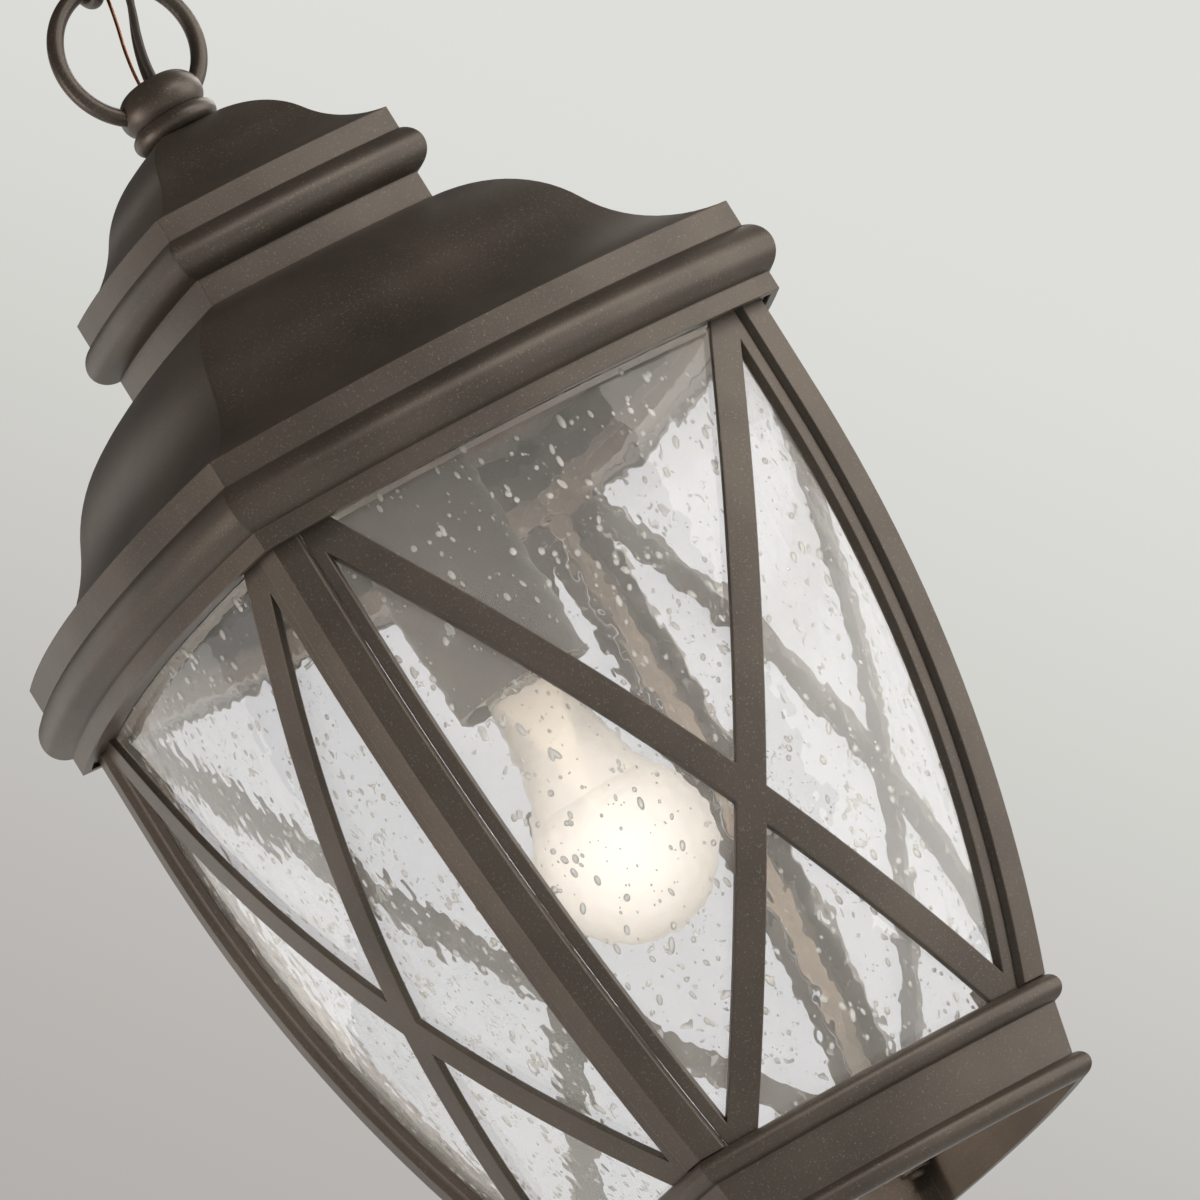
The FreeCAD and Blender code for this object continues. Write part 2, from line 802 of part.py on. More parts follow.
# Threaded tube with the nut that draws the crown and roof together
cover_top = -s.cover_drop
holder_top = cover_top - s.holder_drop
tube_bottom = holder_top - s.holder_thread
keep(turned("centre_tube", [
    (s.tube_bore, tube_bottom),
    (s.tube_radius, tube_bottom),
    (s.tube_radius, tube_top),
    (s.tube_bore, tube_top),
]), "centre_tube")

washer_bottom = roof_plate - s.washer_height
keep(turned("roof_washer", [
    (tube_hole, washer_bottom),
    (s.washer_radius, washer_bottom),
    (s.washer_radius, roof_plate),
    (tube_hole, roof_plate),
]), "roof_washer")

roof_nut = hex_nut("roof_nut", washer_bottom - s.nut_height - ceiling, s.nut_flats, s.nut_height)
keep(roof_nut, "roof_nut")
upper_nut = hex_nut("cover_nut_upper", cover_top - ceiling, s.nut_flats, s.nut_height)
keep(upper_nut, "cover_nut_upper")
lower_nut = hex_nut(
    "cover_nut_lower", cover_top - s.cover_wall - s.nut_height - ceiling, s.nut_flats, s.nut_height
)
keep(lower_nut, "cover_nut_lower")

# Socket cover, lampholder and its screw shell
cover_inside = s.cover_radius - s.cover_wall
keep(turned("socket_cover", [
    (tube_hole, cover_top),
    (s.cover_radius, cover_top),
    (s.cover_radius, cover_top - s.cover_height),
    (cover_inside, cover_top - s.cover_height),
    (cover_inside, cover_top - s.cover_wall),
    (tube_hole, cover_top - s.cover_wall),
]), "socket_cover")

holder_bottom = holder_top - s.holder_height
shell_top = holder_bottom + s.shell_height
shell_space = s.shell_radius + s.hole_clearance
keep(turned("lampholder", [
    (s.tube_radius + s.hole_clearance, holder_top),
    (s.holder_radius, holder_top),
    (s.holder_radius, holder_bottom),
    (shell_space, holder_bottom),
    (shell_space, shell_top),
    (s.tube_bore, shell_top),
    (s.tube_bore, tube_bottom),
    (s.tube_radius + s.hole_clearance, tube_bottom),
]), "lampholder")

keep(turned("screw_shell", [
    (s.shell_radius - s.shell_wall, holder_bottom),
    (s.shell_radius, holder_bottom),
    (s.shell_radius, shell_top),
    (s.shell_radius - s.shell_wall, shell_top),
]), "screw_shell")

# Bulb: screw cap, pear-shaped envelope, and the stem that carries the filament
cap_tip_top = shell_top - s.cap_clearance
cap_top = cap_tip_top - s.cap_tip
cap_bottom = cap_top - s.cap_height
keep(turned("bulb_cap", [
    (ZERO, cap_tip_top),
    (ZERO, cap_bottom),
    (s.cap_radius, cap_bottom),
    (s.cap_radius, cap_top),
    (s.cap_radius / 3, cap_tip_top),
]), "bulb_cap")

globe_centre = cap_bottom - s.bulb_length + s.bulb_radius
shoulder_turn = math.radians(40)


def bulb_surface(depth):
    """Neck, shoulder and globe of the envelope, this far inside its outer face."""
    globe = s.bulb_radius - depth
    neck_end = (s.bulb_neck_radius - depth, cap_bottom - s.bulb_neck)
    shoulder = (globe * math.cos(shoulder_turn), globe_centre + globe * math.sin(shoulder_turn))
    side = (globe, globe_centre)
    bottom = (ZERO, globe_centre - globe)
    shoulder_radius = arc_radius(neck_end, shoulder, s.bulb_length / 45)
    return neck_end, shoulder, shoulder_radius, side, bottom, globe


outer = bulb_surface(ZERO)
inner = bulb_surface(s.bulb_wall)
keep(turned("bulb_glass", [
    (s.cap_radius - s.bulb_wall, cap_bottom),
    (s.cap_radius, cap_bottom),
    outer[0] + (outer[2], LEFT),
    outer[1] + (outer[5], RIGHT),
    outer[3] + (outer[5], RIGHT),
    outer[4],
    inner[4] + (inner[5], LEFT),
    inner[3] + (inner[5], LEFT),
    inner[1] + (inner[2], RIGHT),
    inner[0],
]), "bulb_glass")

stem_end = cap_bottom - s.stem_length
stem = turned("bulb_stem", [
    (ZERO, cap_bottom),
    (ZERO, stem_end),
    (s.stem_radius / 2, stem_end),
    (s.stem_radius, stem_end + s.stem_length / 2),
    (s.cap_radius - s.bulb_wall * 2, cap_bottom),
])
filament_end = stem_end - s.filament_drop
support_foot = s.stem_radius / 4
support_lean = math.degrees(math.atan((s.filament_span - support_foot).value / s.filament_drop.value))
wires = []
for lean in (support_lean, -support_lean):
    wire = doc.addObject("Part::Cylinder", "filament_support")
    wire.setExpression("Radius", s.filament_wire.text)
    rise = s.filament_drop / math.cos(math.radians(support_lean)) + s.stem_radius
    wire.setExpression("Height", rise.text)
    tip = math.copysign(s.filament_span.value, lean)
    wire.Placement = FreeCAD.Placement(
        Vector(tip, 0, (filament_end - ceiling).value), FreeCAD.Rotation(Vector(0, 1, 0), -lean)
    )
    wires.append(wire)
coil = doc.addObject("Part::Cylinder", "filament_coil")
coil.setExpression("Radius", (s.filament_wire * 1.4).text)
coil.setExpression("Height", (s.filament_span * 2).text)
coil.Placement = FreeCAD.Placement(
    Vector(-s.filament_span.value, 0, (filament_end - ceiling).value),
    FreeCAD.Rotation(Vector(0, 1, 0), 90),
)
filament = doc.addObject("Part::MultiFuse", "bulb_filament")
filament.Shapes = [stem, coil] + wires
keep(filament, "bulb_filament")


# Chain links: two straight sides and two half rings of round wire
def chain_link(label, inside_bottom, facing):
    half_width = (s.link_width + s.link_wire * 2) / 2
    straight = s.link_length - s.link_width
    pieces = []
    for up in (False, True):
        bend = doc.addObject("Part::Torus", label + "_bend")
        bend.setExpression("Radius1", half_width.text)
        bend.setExpression("Radius2", s.link_wire.text)
        bend.Angle3 = 180
        spin = FreeCAD.Rotation(Vector(0, 0, 1), 0 if up else 180)
        bend.Placement = FreeCAD.Placement(Vector(0, 0, 0), FreeCAD.Rotation(Vector(1, 0, 0), 90) * spin)
        level = inside_bottom + s.link_width / 2 - ceiling
        if up:
            level = level + straight
        bend.setExpression("Placement.Base.z", level.text)
        pieces.append(bend)
    for side in (half_width, -half_width):
        bar = doc.addObject("Part::Cylinder", label + "_side")
        bar.setExpression("Radius", s.link_wire.text)
        bar.setExpression("Height", straight.text)
        bar.setExpression("Placement.Base.x", side.text)
        bar.setExpression("Placement.Base.z", (inside_bottom + s.link_width / 2 - ceiling).text)
        pieces.append(bar)
    link = doc.addObject("Part::MultiFuse", label)
    link.Shapes = pieces
    doc.recompute()
    link.Placement = FreeCAD.Placement(Vector(0, 0, 0), FreeCAD.Rotation(Vector(0, 0, 1), facing))
    return link


keep(chain_link("chain_link_1", link_bottoms[0], 90), "chain_link_1")
keep(chain_link("chain_link_2", link_bottoms[1], 0), "chain_link_2")

# Ceiling loop on its hollow stem, with the ring that locks the canopy
loop_hoop = doc.addObject("Part::Torus", "loop_hoop")
loop_hoop.setExpression("Radius1", s.loop_radius.text)
loop_hoop.setExpression("Radius2", s.loop_wire.text)
loop_hoop.Placement = FreeCAD.Placement(Vector(0, 0, 0), FreeCAD.Rotation(Vector(0, 1, 0), 90))
loop_hoop.setExpression("Placement.Base.z", (loop_centre - ceiling).text)
loop_stem = turned("loop_stem", [
    (ZERO, stem_bottom),
    (s.stem_collar_radius, stem_bottom),
    (s.stem_collar_radius, stem_top),
    (ZERO, stem_top),
])
nipple_bottom = ceiling - s.nipple_length
stem_bore = turned("loop_bore", [
    (ZERO, stem_bottom - s.stem_dip),
    (s.cable_mouth, stem_bottom - s.stem_dip),
    (s.cable_mouth, nipple_bottom),
    (s.tube_radius + s.hole_clearance, nipple_bottom),
    (s.tube_radius + s.hole_clearance, stem_top + s.stem_dip),
    (ZERO, stem_top + s.stem_dip),
])
loop_solid = doc.addObject("Part::Fuse", "loop_solid")
loop_solid.Base = loop_stem
loop_solid.Tool = loop_hoop
canopy_loop = doc.addObject("Part::Cut", "canopy_loop")
canopy_loop.Base = loop_solid
canopy_loop.Tool = stem_bore
keep(canopy_loop, "canopy_loop")

keep(turned("loop_lock_ring", [
    (s.stem_collar_radius + s.hole_clearance, lock_ring_bottom),
    (s.lock_ring_radius, lock_ring_bottom),
    (s.lock_ring_radius, canopy_bottom),
    (s.stem_collar_radius + s.hole_clearance, canopy_bottom),
]), "loop_lock_ring")

# Canopy against the ceiling, and the strap that the whole light hangs from
rim_bottom = ceiling - s.canopy_rim
canopy_curve = arc_radius((s.canopy_flat, canopy_bottom), (s.canopy_radius, rim_bottom), s.canopy_bulge)
canopy_inside = s.canopy_radius - s.canopy_wall
canopy_hole = s.stem_collar_radius + s.hole_clearance * 2
keep(turned("canopy", [
    (canopy_hole, canopy_bottom),
    (s.canopy_flat, canopy_bottom, canopy_curve, LEFT),
    (s.canopy_radius, rim_bottom),
    (s.canopy_radius, ceiling),
    (canopy_inside, ceiling),
    (canopy_inside, rim_bottom, canopy_curve, RIGHT),
    (s.canopy_flat - s.canopy_wall, canopy_bottom + s.canopy_wall),
    (canopy_hole, canopy_bottom + s.canopy_wall),
]), "canopy")

strap = new_body("mounting_strap")
strap_sketch = new_sketch(strap, "XY_Plane", ceiling)
strap_half = canopy_inside - s.strap_margin
strap_edge = s.strap_width / 2
outline(strap_sketch, [
    (-strap_half, -strap_edge),
    (strap_half, -strap_edge, strap_edge * 1.2, LEFT),
    (strap_half, strap_edge),
    (-strap_half, strap_edge, strap_edge * 1.2, LEFT),
])
pad(strap, strap_sketch, s.strap_thickness, True)
round_hole(strap, s.tube_radius + s.hole_clearance)
slot_run = s.slot_length / 2 - s.slot_radius
slot_ends = new_sketch(strap, "XY_Plane")
slot_sides = new_sketch(strap, "XY_Plane")
for middle in (s.slot_spacing / 2, -s.slot_spacing / 2):
    circle(slot_ends, middle - slot_run, ZERO, s.slot_radius)
    circle(slot_ends, middle + slot_run, ZERO, s.slot_radius)
    outline(slot_sides, [
        (middle - slot_run, -s.slot_radius),
        (middle + slot_run, -s.slot_radius),
        (middle + slot_run, s.slot_radius),
        (middle - slot_run, s.slot_radius),
    ])
pocket(strap, slot_ends)
pocket(strap, slot_sides)
keep(strap, "mounting_strap")

keep(turned("strap_nipple", [
    (s.tube_bore, nipple_bottom),
    (s.tube_radius, nipple_bottom),
    (s.tube_radius, ceiling),
    (s.tube_bore, ceiling),
]), "strap_nipple")

strap_nut = hex_nut(
    "strap_nut", -(s.strap_thickness + s.strap_nut_height), s.strap_nut_flats, s.strap_nut_height
)
keep(strap_nut, "strap_nut")


# Supply cable and bare earth wire, from the hub's bore up beside the chain into the loop's stem
# Each pair is a share of the height between the two bores and a share of the sideways swing.
slack = [
    (0.0, 0.0),
    (0.11, 0.2),
    (0.22, 0.6),
    (0.36, 0.93),
    (0.52, 1.0),
    (0.66, 0.95),
    (0.78, 0.72),
    (0.885, 0.33),
    (1.0, 0.0),
]


def sideways(heading):
    """A level direction, by its angle in degrees from the right-hand side."""
    turn = FreeCAD.Rotation(Vector(0, 0, 1), heading.value)
    return turn.multVec(Vector(1, 0, 0))


def slack_route(start, swing):
    """Points of a slack lead from its start in the bores, with a straight tail in each bore."""
    low = hub_top.value
    high = stem_bottom.value
    route = [start + Vector(0, 0, low - s.cable_tail.value)]
    for height_share, swing_share in slack:
        level = low + height_share * (high - low)
        route.append(start + swing * swing_share + Vector(0, 0, level))
    route.append(start + Vector(0, 0, high + s.cable_tail.value))
    return route


def cord(label, route, radius):
    """A tube along straight runs and tangent arcs as large as the runs allow."""
    edges = []
    bends = []
    last = route[0]
    for before, point, after in zip(route, route[1:], route[2:]):
        incoming = (point - before).normalize()
        outgoing = (after - point).normalize()
        turn = incoming.getAngle(outgoing)
        trim = 0.45 * min((point - before).Length, (after - point).Length)
        bend = trim / math.tan(turn / 2)
        start = point - incoming * trim
        end = point + outgoing * trim
        inward = (outgoing - incoming).normalize()
        middle = point + inward * (bend / math.cos(turn / 2) - bend)
        edges.append(Part.LineSegment(last, start).toShape())
        edges.append(Part.Arc(start, middle, end).toShape())
        bends.append(bend)
        last = end
    edges.append(Part.LineSegment(last, route[-1]).toShape())
    path = Part.Wire(edges)
    section = Part.Wire(Part.Circle(route[0], route[1] - route[0], radius.value).toShape())
    tube = path.makePipeShell([section], True, False)
    expected = math.pi * radius.value ** 2 * path.Length
    print(label, "length %.1f" % path.Length, "radii", ["%.0f" % bend for bend in bends])
    if abs(tube.Volume / expected - 1) > 0.01:
        raise ValueError(label + " is not one even tube")
    item = doc.addObject("Part::Feature", label)
    item.Shape = tube
    place(item)
    return item


cable_side = sideways(s.cable_heading)
cable_route = slack_route(cable_side * s.cable_start.value, cable_side * s.cable_swing.value)
ground_swing = sideways(s.ground_heading) * s.ground_swing.value
ground_route = slack_route(cable_side * -s.ground_start.value, ground_swing)
keep(cord("supply_cable", cable_route, s.cable_radius), "supply_cable")
keep(cord("ground_wire", ground_route, s.ground_radius), "ground_wire")

# Check every object, then write one file for each piece
doc.recompute()
for item in doc.Objects:
    if "Invalid" in item.State or "Error" in item.State:
        raise ValueError("%s did not build" % item.Label)
for item in nodes:
    shape = item.Shape
    if shape.isNull() or not shape.isValid() or not shape.Solids:
        raise ValueError("%s has no valid solid" % item.Label)
    shape.exportStep("parts/%s.step" % item.Label)
    print(item.Label, len(shape.Solids), "%.0f mm3" % shape.Volume)
print("ceiling above eaves %.2f" % ceiling.value, "base bottom %.2f" % base_bottom.value)
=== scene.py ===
# %% [markdown]
# # A chain-hung outdoor lantern
# The solid model of this lantern is already exact: every casting, pane, screw and link is
# a separate solid in metres. It is loaded here as a fixed frame. This lesson dresses it:
# leads, seeds in the glass, small hardware, finishes, light and a camera. Nothing that was
# loaded is moved or reshaped; the seeds and the small hardware ride on the body that
# carries them, and the leads are swept in place.

# %% Load the solids
import math
import random

import bmesh
import bpy
from mathutils import Matrix, Vector


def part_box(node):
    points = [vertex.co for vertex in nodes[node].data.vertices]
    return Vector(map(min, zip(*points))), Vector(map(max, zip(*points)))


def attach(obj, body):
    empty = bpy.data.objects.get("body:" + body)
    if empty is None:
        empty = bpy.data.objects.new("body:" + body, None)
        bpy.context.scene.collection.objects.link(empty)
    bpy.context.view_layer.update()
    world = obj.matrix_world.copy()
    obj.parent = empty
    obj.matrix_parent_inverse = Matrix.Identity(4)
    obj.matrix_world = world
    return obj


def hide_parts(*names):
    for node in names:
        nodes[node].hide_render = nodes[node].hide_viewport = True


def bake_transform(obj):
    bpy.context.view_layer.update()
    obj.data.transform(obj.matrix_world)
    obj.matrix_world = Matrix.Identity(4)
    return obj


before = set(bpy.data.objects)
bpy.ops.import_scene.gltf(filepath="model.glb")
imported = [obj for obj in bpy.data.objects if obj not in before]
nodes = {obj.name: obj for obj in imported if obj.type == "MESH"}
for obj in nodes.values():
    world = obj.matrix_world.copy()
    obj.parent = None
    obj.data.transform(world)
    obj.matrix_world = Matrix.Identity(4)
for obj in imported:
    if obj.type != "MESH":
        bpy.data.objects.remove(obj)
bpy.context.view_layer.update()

MM = 0.001
SIDES = ("right", "back", "left", "front")

# %% [markdown]
# ## The camera
# The lantern is seen from a little below through a long lens, and the picture is rolled so
# that the chain leaves at the upper left. A camera could be aimed with a constraint, but a
# matrix made of its own right, up and back directions shows the roll plainly: the two
# image axes are the level ones turned about the line of sight. Heights on the lantern are
# counted from the top edge of its eaves, where the roof's curve ends.

# %% Camera
EAVES = Vector((0.0, 0.0, -293.95 * MM))
AZIMUTH = math.radians(-26.321)
ELEVATION = math.radians(-9.844)
ROLL = math.radians(31.85)
DISTANCE = 4.595
AIM_RIGHT = 35.65 * MM
AIM_DOWN = 79.4 * MM
FOCAL_LENGTH = 430.7
SENSOR_WIDTH = 36.0
NEAREST = 0.1
FARTHEST = 200.0


def outward(azimuth, elevation):
    """The direction away from the lantern; azimuth nought is along minus Y."""
    return Vector((
        math.sin(azimuth) * math.cos(elevation),
        -math.cos(azimuth) * math.cos(elevation),
        math.sin(elevation),
    ))


def linked(name, data):
    """A new object that shows some data, linked to the scene."""
    thing = bpy.data.objects.new(name, data)
    bpy.context.collection.objects.link(thing)
    return thing


away = outward(AZIMUTH, ELEVATION)
level_right = Vector((math.cos(AZIMUTH), math.sin(AZIMUTH), 0.0))
level_up = away.cross(level_right)
place = EAVES + away * DISTANCE
aim = EAVES + level_right * AIM_RIGHT - level_up * AIM_DOWN
back = (place - aim).normalized()
flat_right = level_up.cross(back).normalized()
flat_up = back.cross(flat_right)
right = flat_right * math.cos(ROLL) - flat_up * math.sin(ROLL)
up = flat_right * math.sin(ROLL) + flat_up * math.cos(ROLL)

lens = bpy.data.cameras.new("long_lens")
lens.lens = FOCAL_LENGTH
lens.sensor_width = SENSOR_WIDTH
lens.clip_start = NEAREST
lens.clip_end = FARTHEST
camera = linked("camera", lens)
turn = Matrix((right, up, back)).transposed().to_4x4()
camera.matrix_world = Matrix.Translation(place) @ turn
bpy.context.scene.camera = camera
print("camera at", tuple(round(x, 3) for x in place))

# %% [markdown]
# ## Small tools for finishes
# Colours are written as the sRGB hex values that an eye dropper gives, and one function
# turns them to the linear numbers that the shader needs. A second function adds any node
# with its settings and links, so that each finish below reads as a short list. Pattern
# sizes are given in millimetres and turned to the scale that a texture node asks for.

# %% Finish tools
def linear(code):
    """Linear colour, with alpha, of an sRGB hex value."""
    parts = [int(code[i:i + 2], 16) / 255 for i in (0, 2, 4)]
    return tuple(p / 12.92 if p <= 0.04045 else ((p + 0.055) / 1.055) ** 2.4 for p in parts) + (1.0,)


def add(tree, kind, inputs, **settings):
    """One shader node, with its settings, values and links."""
    node = tree.nodes.new("ShaderNode" + kind)
    for name, value in settings.items():
        setattr(node, name, value)
    for socket, value in inputs.items():
        if isinstance(value, bpy.types.NodeSocket):
            tree.links.new(value, node.inputs[socket])
        else:
            node.inputs[socket].default_value = value
    return node


def finish_named(name):
    """A new material with an empty tree and its output node."""
    material = bpy.data.materials.new(name)
    material.use_nodes = True
    tree = material.node_tree
    tree.nodes.clear()
    return material, tree, tree.nodes.new("ShaderNodeOutputMaterial")


def per_metre(size_mm):
    """Texture scale whose features are about this many millimetres wide."""
    return 1.0 / (size_mm * MM)


def dress(finish, *names):
    """Give loaded solids a finish."""
    for name in names:
        mesh = nodes[name].data
        mesh.materials.clear()
        mesh.materials.append(finish)


print("finish tools ready; mid grey is", tuple(round(c, 3) for c in linear("808080")))

# %% [markdown]
# ## Powder coat on cast aluminium
# The castings are sprayed with a dark bronze powder and baked. That leaves a satin skin
# with a slight orange peel, a fine metallic grain, and soft rounded edges. Edges could be
# bevelled in the mesh, but the loaded solids stay as they are, so the Bevel node rounds
# them for the light alone. Where the rounded normal leaves the true one, there is an edge,
# and a paler colour is painted there as a highlight, for the light that a rounded edge
# catches. The grain is drawn coarser than the real powder, about two thirds of a
# millimetre, so that it shows.

# %% Powder coat
CLOUD_MM = 38
GRAIN_MM = 0.7
PEEL_HEIGHT = 0.05 * MM
GRIT_HEIGHT = 0.03 * MM


def powder_coat(name, dark, light, edge, roughness, peel_mm, edge_mm):
    """Satin bronze paint with clouded tone, pale specks and a painted highlight along its edges."""
    material, tree, output = finish_named(name)
    where = add(tree, "TexCoord", {}).outputs["Object"]
    cloud = add(tree, "TexNoise", {"Vector": where, "Scale": per_metre(CLOUD_MM), "Detail": 3.0})
    grain = add(tree, "TexNoise", {"Vector": where, "Scale": per_metre(GRAIN_MM), "Detail": 2.0})
    peel = add(tree, "TexNoise", {"Vector": where, "Scale": per_metre(peel_mm), "Detail": 1.0})
    tone = add(tree, "ValToRGB", {"Fac": cloud.outputs["Fac"]})
    tone.color_ramp.elements[0].position = 0.35
    tone.color_ramp.elements[0].color = linear(dark)
    tone.color_ramp.elements[1].position = 0.68
    tone.color_ramp.elements[1].color = linear(light)
    speck = add(tree, "MapRange", {
        "Value": grain.outputs["Fac"], "From Min": 0.59, "From Max": 0.74, "To Min": 0.0, "To Max": 0.5,
    })
    rounded = add(tree, "Bevel", {"Radius": edge_mm * MM}, samples=4)
    true_normal = add(tree, "NewGeometry", {}).outputs["True Normal"]
    agree = add(tree, "VectorMath", {
        0: rounded.outputs["Normal"], 1: true_normal,
    }, operation="DOT_PRODUCT")
    # Painted highlight: at an edge, where the rounded normal parts from the true one, the colour turns
    # toward the pale edge colour, for the light that a rounded edge catches.
    edge_highlight_mask = add(tree, "MapRange", {
        "Value": agree.outputs["Value"], "From Min": 0.985, "From Max": 0.80, "To Min": 0.0, "To Max": 0.5,
    })
    paler = add(tree, "Math", {
        0: speck.outputs["Result"], 1: edge_highlight_mask.outputs["Result"],
    }, operation="MAXIMUM")
    colour = add(tree, "MixRGB", {
        "Fac": paler.outputs["Value"], "Color1": tone.outputs["Color"], "Color2": linear(edge),
    })
    gloss = add(tree, "MapRange", {
        "Value": grain.outputs["Fac"], "From Min": 0.3, "From Max": 0.7,
        "To Min": roughness - 0.05, "To Max": roughness + 0.06,
    })
    skin = add(tree, "Bump", {
        "Height": peel.outputs["Fac"], "Strength": 0.16, "Distance": PEEL_HEIGHT,
        "Normal": rounded.outputs["Normal"],
    })
    grit = add(tree, "Bump", {
        "Height": grain.outputs["Fac"], "Strength": 0.12, "Distance": GRIT_HEIGHT,
        "Normal": skin.outputs["Normal"],
    })
    coat = add(tree, "BsdfPrincipled", {
        "Base Color": colour.outputs["Color"], "Metallic": 0.35, "Roughness": gloss.outputs["Result"],
        "Normal": grit.outputs["Normal"],
    })
    tree.links.new(coat.outputs["BSDF"], output.inputs["Surface"])
    return material


print("powder coat: clouds of", CLOUD_MM, "mm and a grain of", GRAIN_MM, "mm")

# %% [markdown]
# ## The coated pieces
# The large castings carry the thickest coat, so their edges are the softest. The ring, the
# chain and the canopy are steel with a thinner coat and tighter edges. The socket cover
# inside is a shade duller, and a shade darker as painted shade, for the shade that falls
# inside the lantern. Each could have nodes of its own, but one recipe with other numbers
# keeps them one family.

# %% Coated pieces
# Each coat's edge colour is the painted highlight along its edges.
cast_coat = powder_coat(
    "bronze_powder_coat_on_cast_aluminium", dark="504841", light="5E554D", edge="938779",
    roughness=0.40, peel_mm=1.6, edge_mm=0.7,
)
steel_coat = powder_coat(
    "bronze_powder_coat_on_steel", dark="4D453E", light="5A5048", edge="938779",
    roughness=0.38, peel_mm=1.2, edge_mm=0.3,
)
# The socket cover's coat is the castings' paint made darker, as painted shade for the inside of the lantern,
# and a little rougher.
shaded_cover_coat = powder_coat(
    "bronze_powder_coat_inside_painted_shade", dark="48423C", light="564F48", edge="7F776D",
    roughness=0.46, peel_mm=1.6, edge_mm=0.4,
)
dress(cast_coat, "crown", "roof", "top_frame", "base_frame", "hub_collar", "ring_hub")
dress(cast_coat, *["corner_post_%d" % number for number in range(1, 5)])
dress(cast_coat, *["lattice_" + side for side in SIDES])
dress(steel_coat, "hanging_ring", "chain_link_1", "chain_link_2", "canopy", "canopy_loop",
      "loop_lock_ring", "base_screws")
dress(shaded_cover_coat, "socket_cover")
print("powder coats:", cast_coat.name, steel_coat.name, shaded_cover_coat.name)

# %% [markdown]
# ## Zinc plate, brass, nickel and copper
# Nuts, the strap and the hidden screws are zinc-plated steel: a cool grey metal whose
# crystals give a faint blotchy sheen. The lampholder's shell is rolled brass, the bulb's
# cap is drawn nickel silver and the earth wire is drawn copper, dull from the air. Each
# could have a recipe of its own, but all four are bare metals with a fine clouded
# roughness, so one helper serves them. Its marks are drawn coarser than real scratches,
# about a millimetre wide, so that they show.

# %% Bare metals
METAL_EDGE = 0.25 * MM
SCRATCH_HEIGHT = 0.03 * MM


def bare_metal(name, dark, light, roughness, cloud_mm, scratch_mm):
    """A metal with blotches of two tones and fine marks in its gloss."""
    material, tree, output = finish_named(name)
    where = add(tree, "TexCoord", {}).outputs["Object"]
    cloud = add(tree, "TexVoronoi", {"Vector": where, "Scale": per_metre(cloud_mm)})
    scratch = add(tree, "TexNoise", {"Vector": where, "Scale": per_metre(scratch_mm), "Detail": 4.0})
    blotch = add(tree, "SeparateColor", {"Color": cloud.outputs["Color"]})
    tone = add(tree, "MixRGB", {
        "Fac": blotch.outputs["Red"], "Color1": linear(dark), "Color2": linear(light),
    })
    gloss = add(tree, "MapRange", {
        "Value": scratch.outputs["Fac"], "To Min": roughness - 0.1, "To Max": roughness + 0.12,
    })
    rounded = add(tree, "Bevel", {"Radius": METAL_EDGE}, samples=4)
    marks = add(tree, "Bump", {
        "Height": scratch.outputs["Fac"], "Strength": 0.15, "Distance": SCRATCH_HEIGHT,
        "Normal": rounded.outputs["Normal"],
    })
    metal = add(tree, "BsdfPrincipled", {
        "Base Color": tone.outputs["Color"], "Metallic": 1.0, "Roughness": gloss.outputs["Result"],
        "Normal": marks.outputs["Normal"],
    })
    tree.links.new(metal.outputs["BSDF"], output.inputs["Surface"])
    return material


zinc = bare_metal("zinc_plated_steel", "7B7C7E", "929391", roughness=0.46, cloud_mm=2.5, scratch_mm=1.2)
brass = bare_metal("rolled_brass", "A8843F", "BF9A55", roughness=0.30, cloud_mm=6.0, scratch_mm=0.8)
nickel = bare_metal("drawn_nickel_silver", "A39E94", "BDB8AE", roughness=0.28, cloud_mm=5.0, scratch_mm=0.8)
copper = bare_metal("drawn_bare_copper", "7C523A", "98694B", roughness=0.34, cloud_mm=3.0, scratch_mm=0.6)
dress(zinc, "frame_screws", "centre_tube", "roof_washer", "roof_nut", "cover_nut_upper",
      "cover_nut_lower", "mounting_strap", "strap_nipple", "strap_nut")
dress(brass, "screw_shell")
dress(nickel, "bulb_cap")
print("bare metals:", zinc.name, brass.name, nickel.name, copper.name)

# %% [markdown]
# ## Glazed porcelain
# The lampholder is porcelain, because it stays cool and does not burn. Its glaze is glossy,
# off-white and faintly uneven. A plain white plastic look would be simpler, but the slight
# flecks and ripples tell the eye that it is fired clay.

# %% Porcelain
FLECK_MM = 4
RIPPLE_HEIGHT = 0.05 * MM


def glazed_porcelain():
    """Off-white fired clay under a glossy, faintly rippled glaze."""
    material, tree, output = finish_named("glazed_porcelain")
    where = add(tree, "TexCoord", {}).outputs["Object"]
    fleck = add(tree, "TexNoise", {"Vector": where, "Scale": per_metre(FLECK_MM), "Detail": 4.0})
    clay = add(tree, "MixRGB", {
        "Fac": fleck.outputs["Fac"], "Color1": linear("DCD8CC"), "Color2": linear("ECE9E0"),
    })
    ripple = add(tree, "Bump", {
        "Height": fleck.outputs["Fac"], "Strength": 0.1, "Distance": RIPPLE_HEIGHT,
    })
    glaze = add(tree, "BsdfPrincipled", {
        "Base Color": clay.outputs["Color"], "Roughness": 0.18, "Normal": ripple.outputs["Normal"],
    })
    tree.links.new(glaze.outputs["BSDF"], output.inputs["Surface"])
    return material


porcelain = glazed_porcelain()
dress(porcelain, "lampholder")
print("lampholder:", porcelain.name)

# %% [markdown]
# ## Seeded glass
# The panes are blown-style glass: clear, slightly wavy, and full of small trapped bubbles.
# Waves are a bump, because they only bend the view. The bubbles are real shapes, because
# each one is a small lens; they come in the next cell. Perfect glass looks empty, so a
# small share of each surface scatters light: the pane has a thin veil that is lit from
# behind, and a bubble a whiter one that shows as a pale speck over dark parts. Light for
# other surfaces passes straight through, as it does in a thin sheet, so the bulb lights
# the inside.

# %% Glass
GLASS_IOR = 1.5


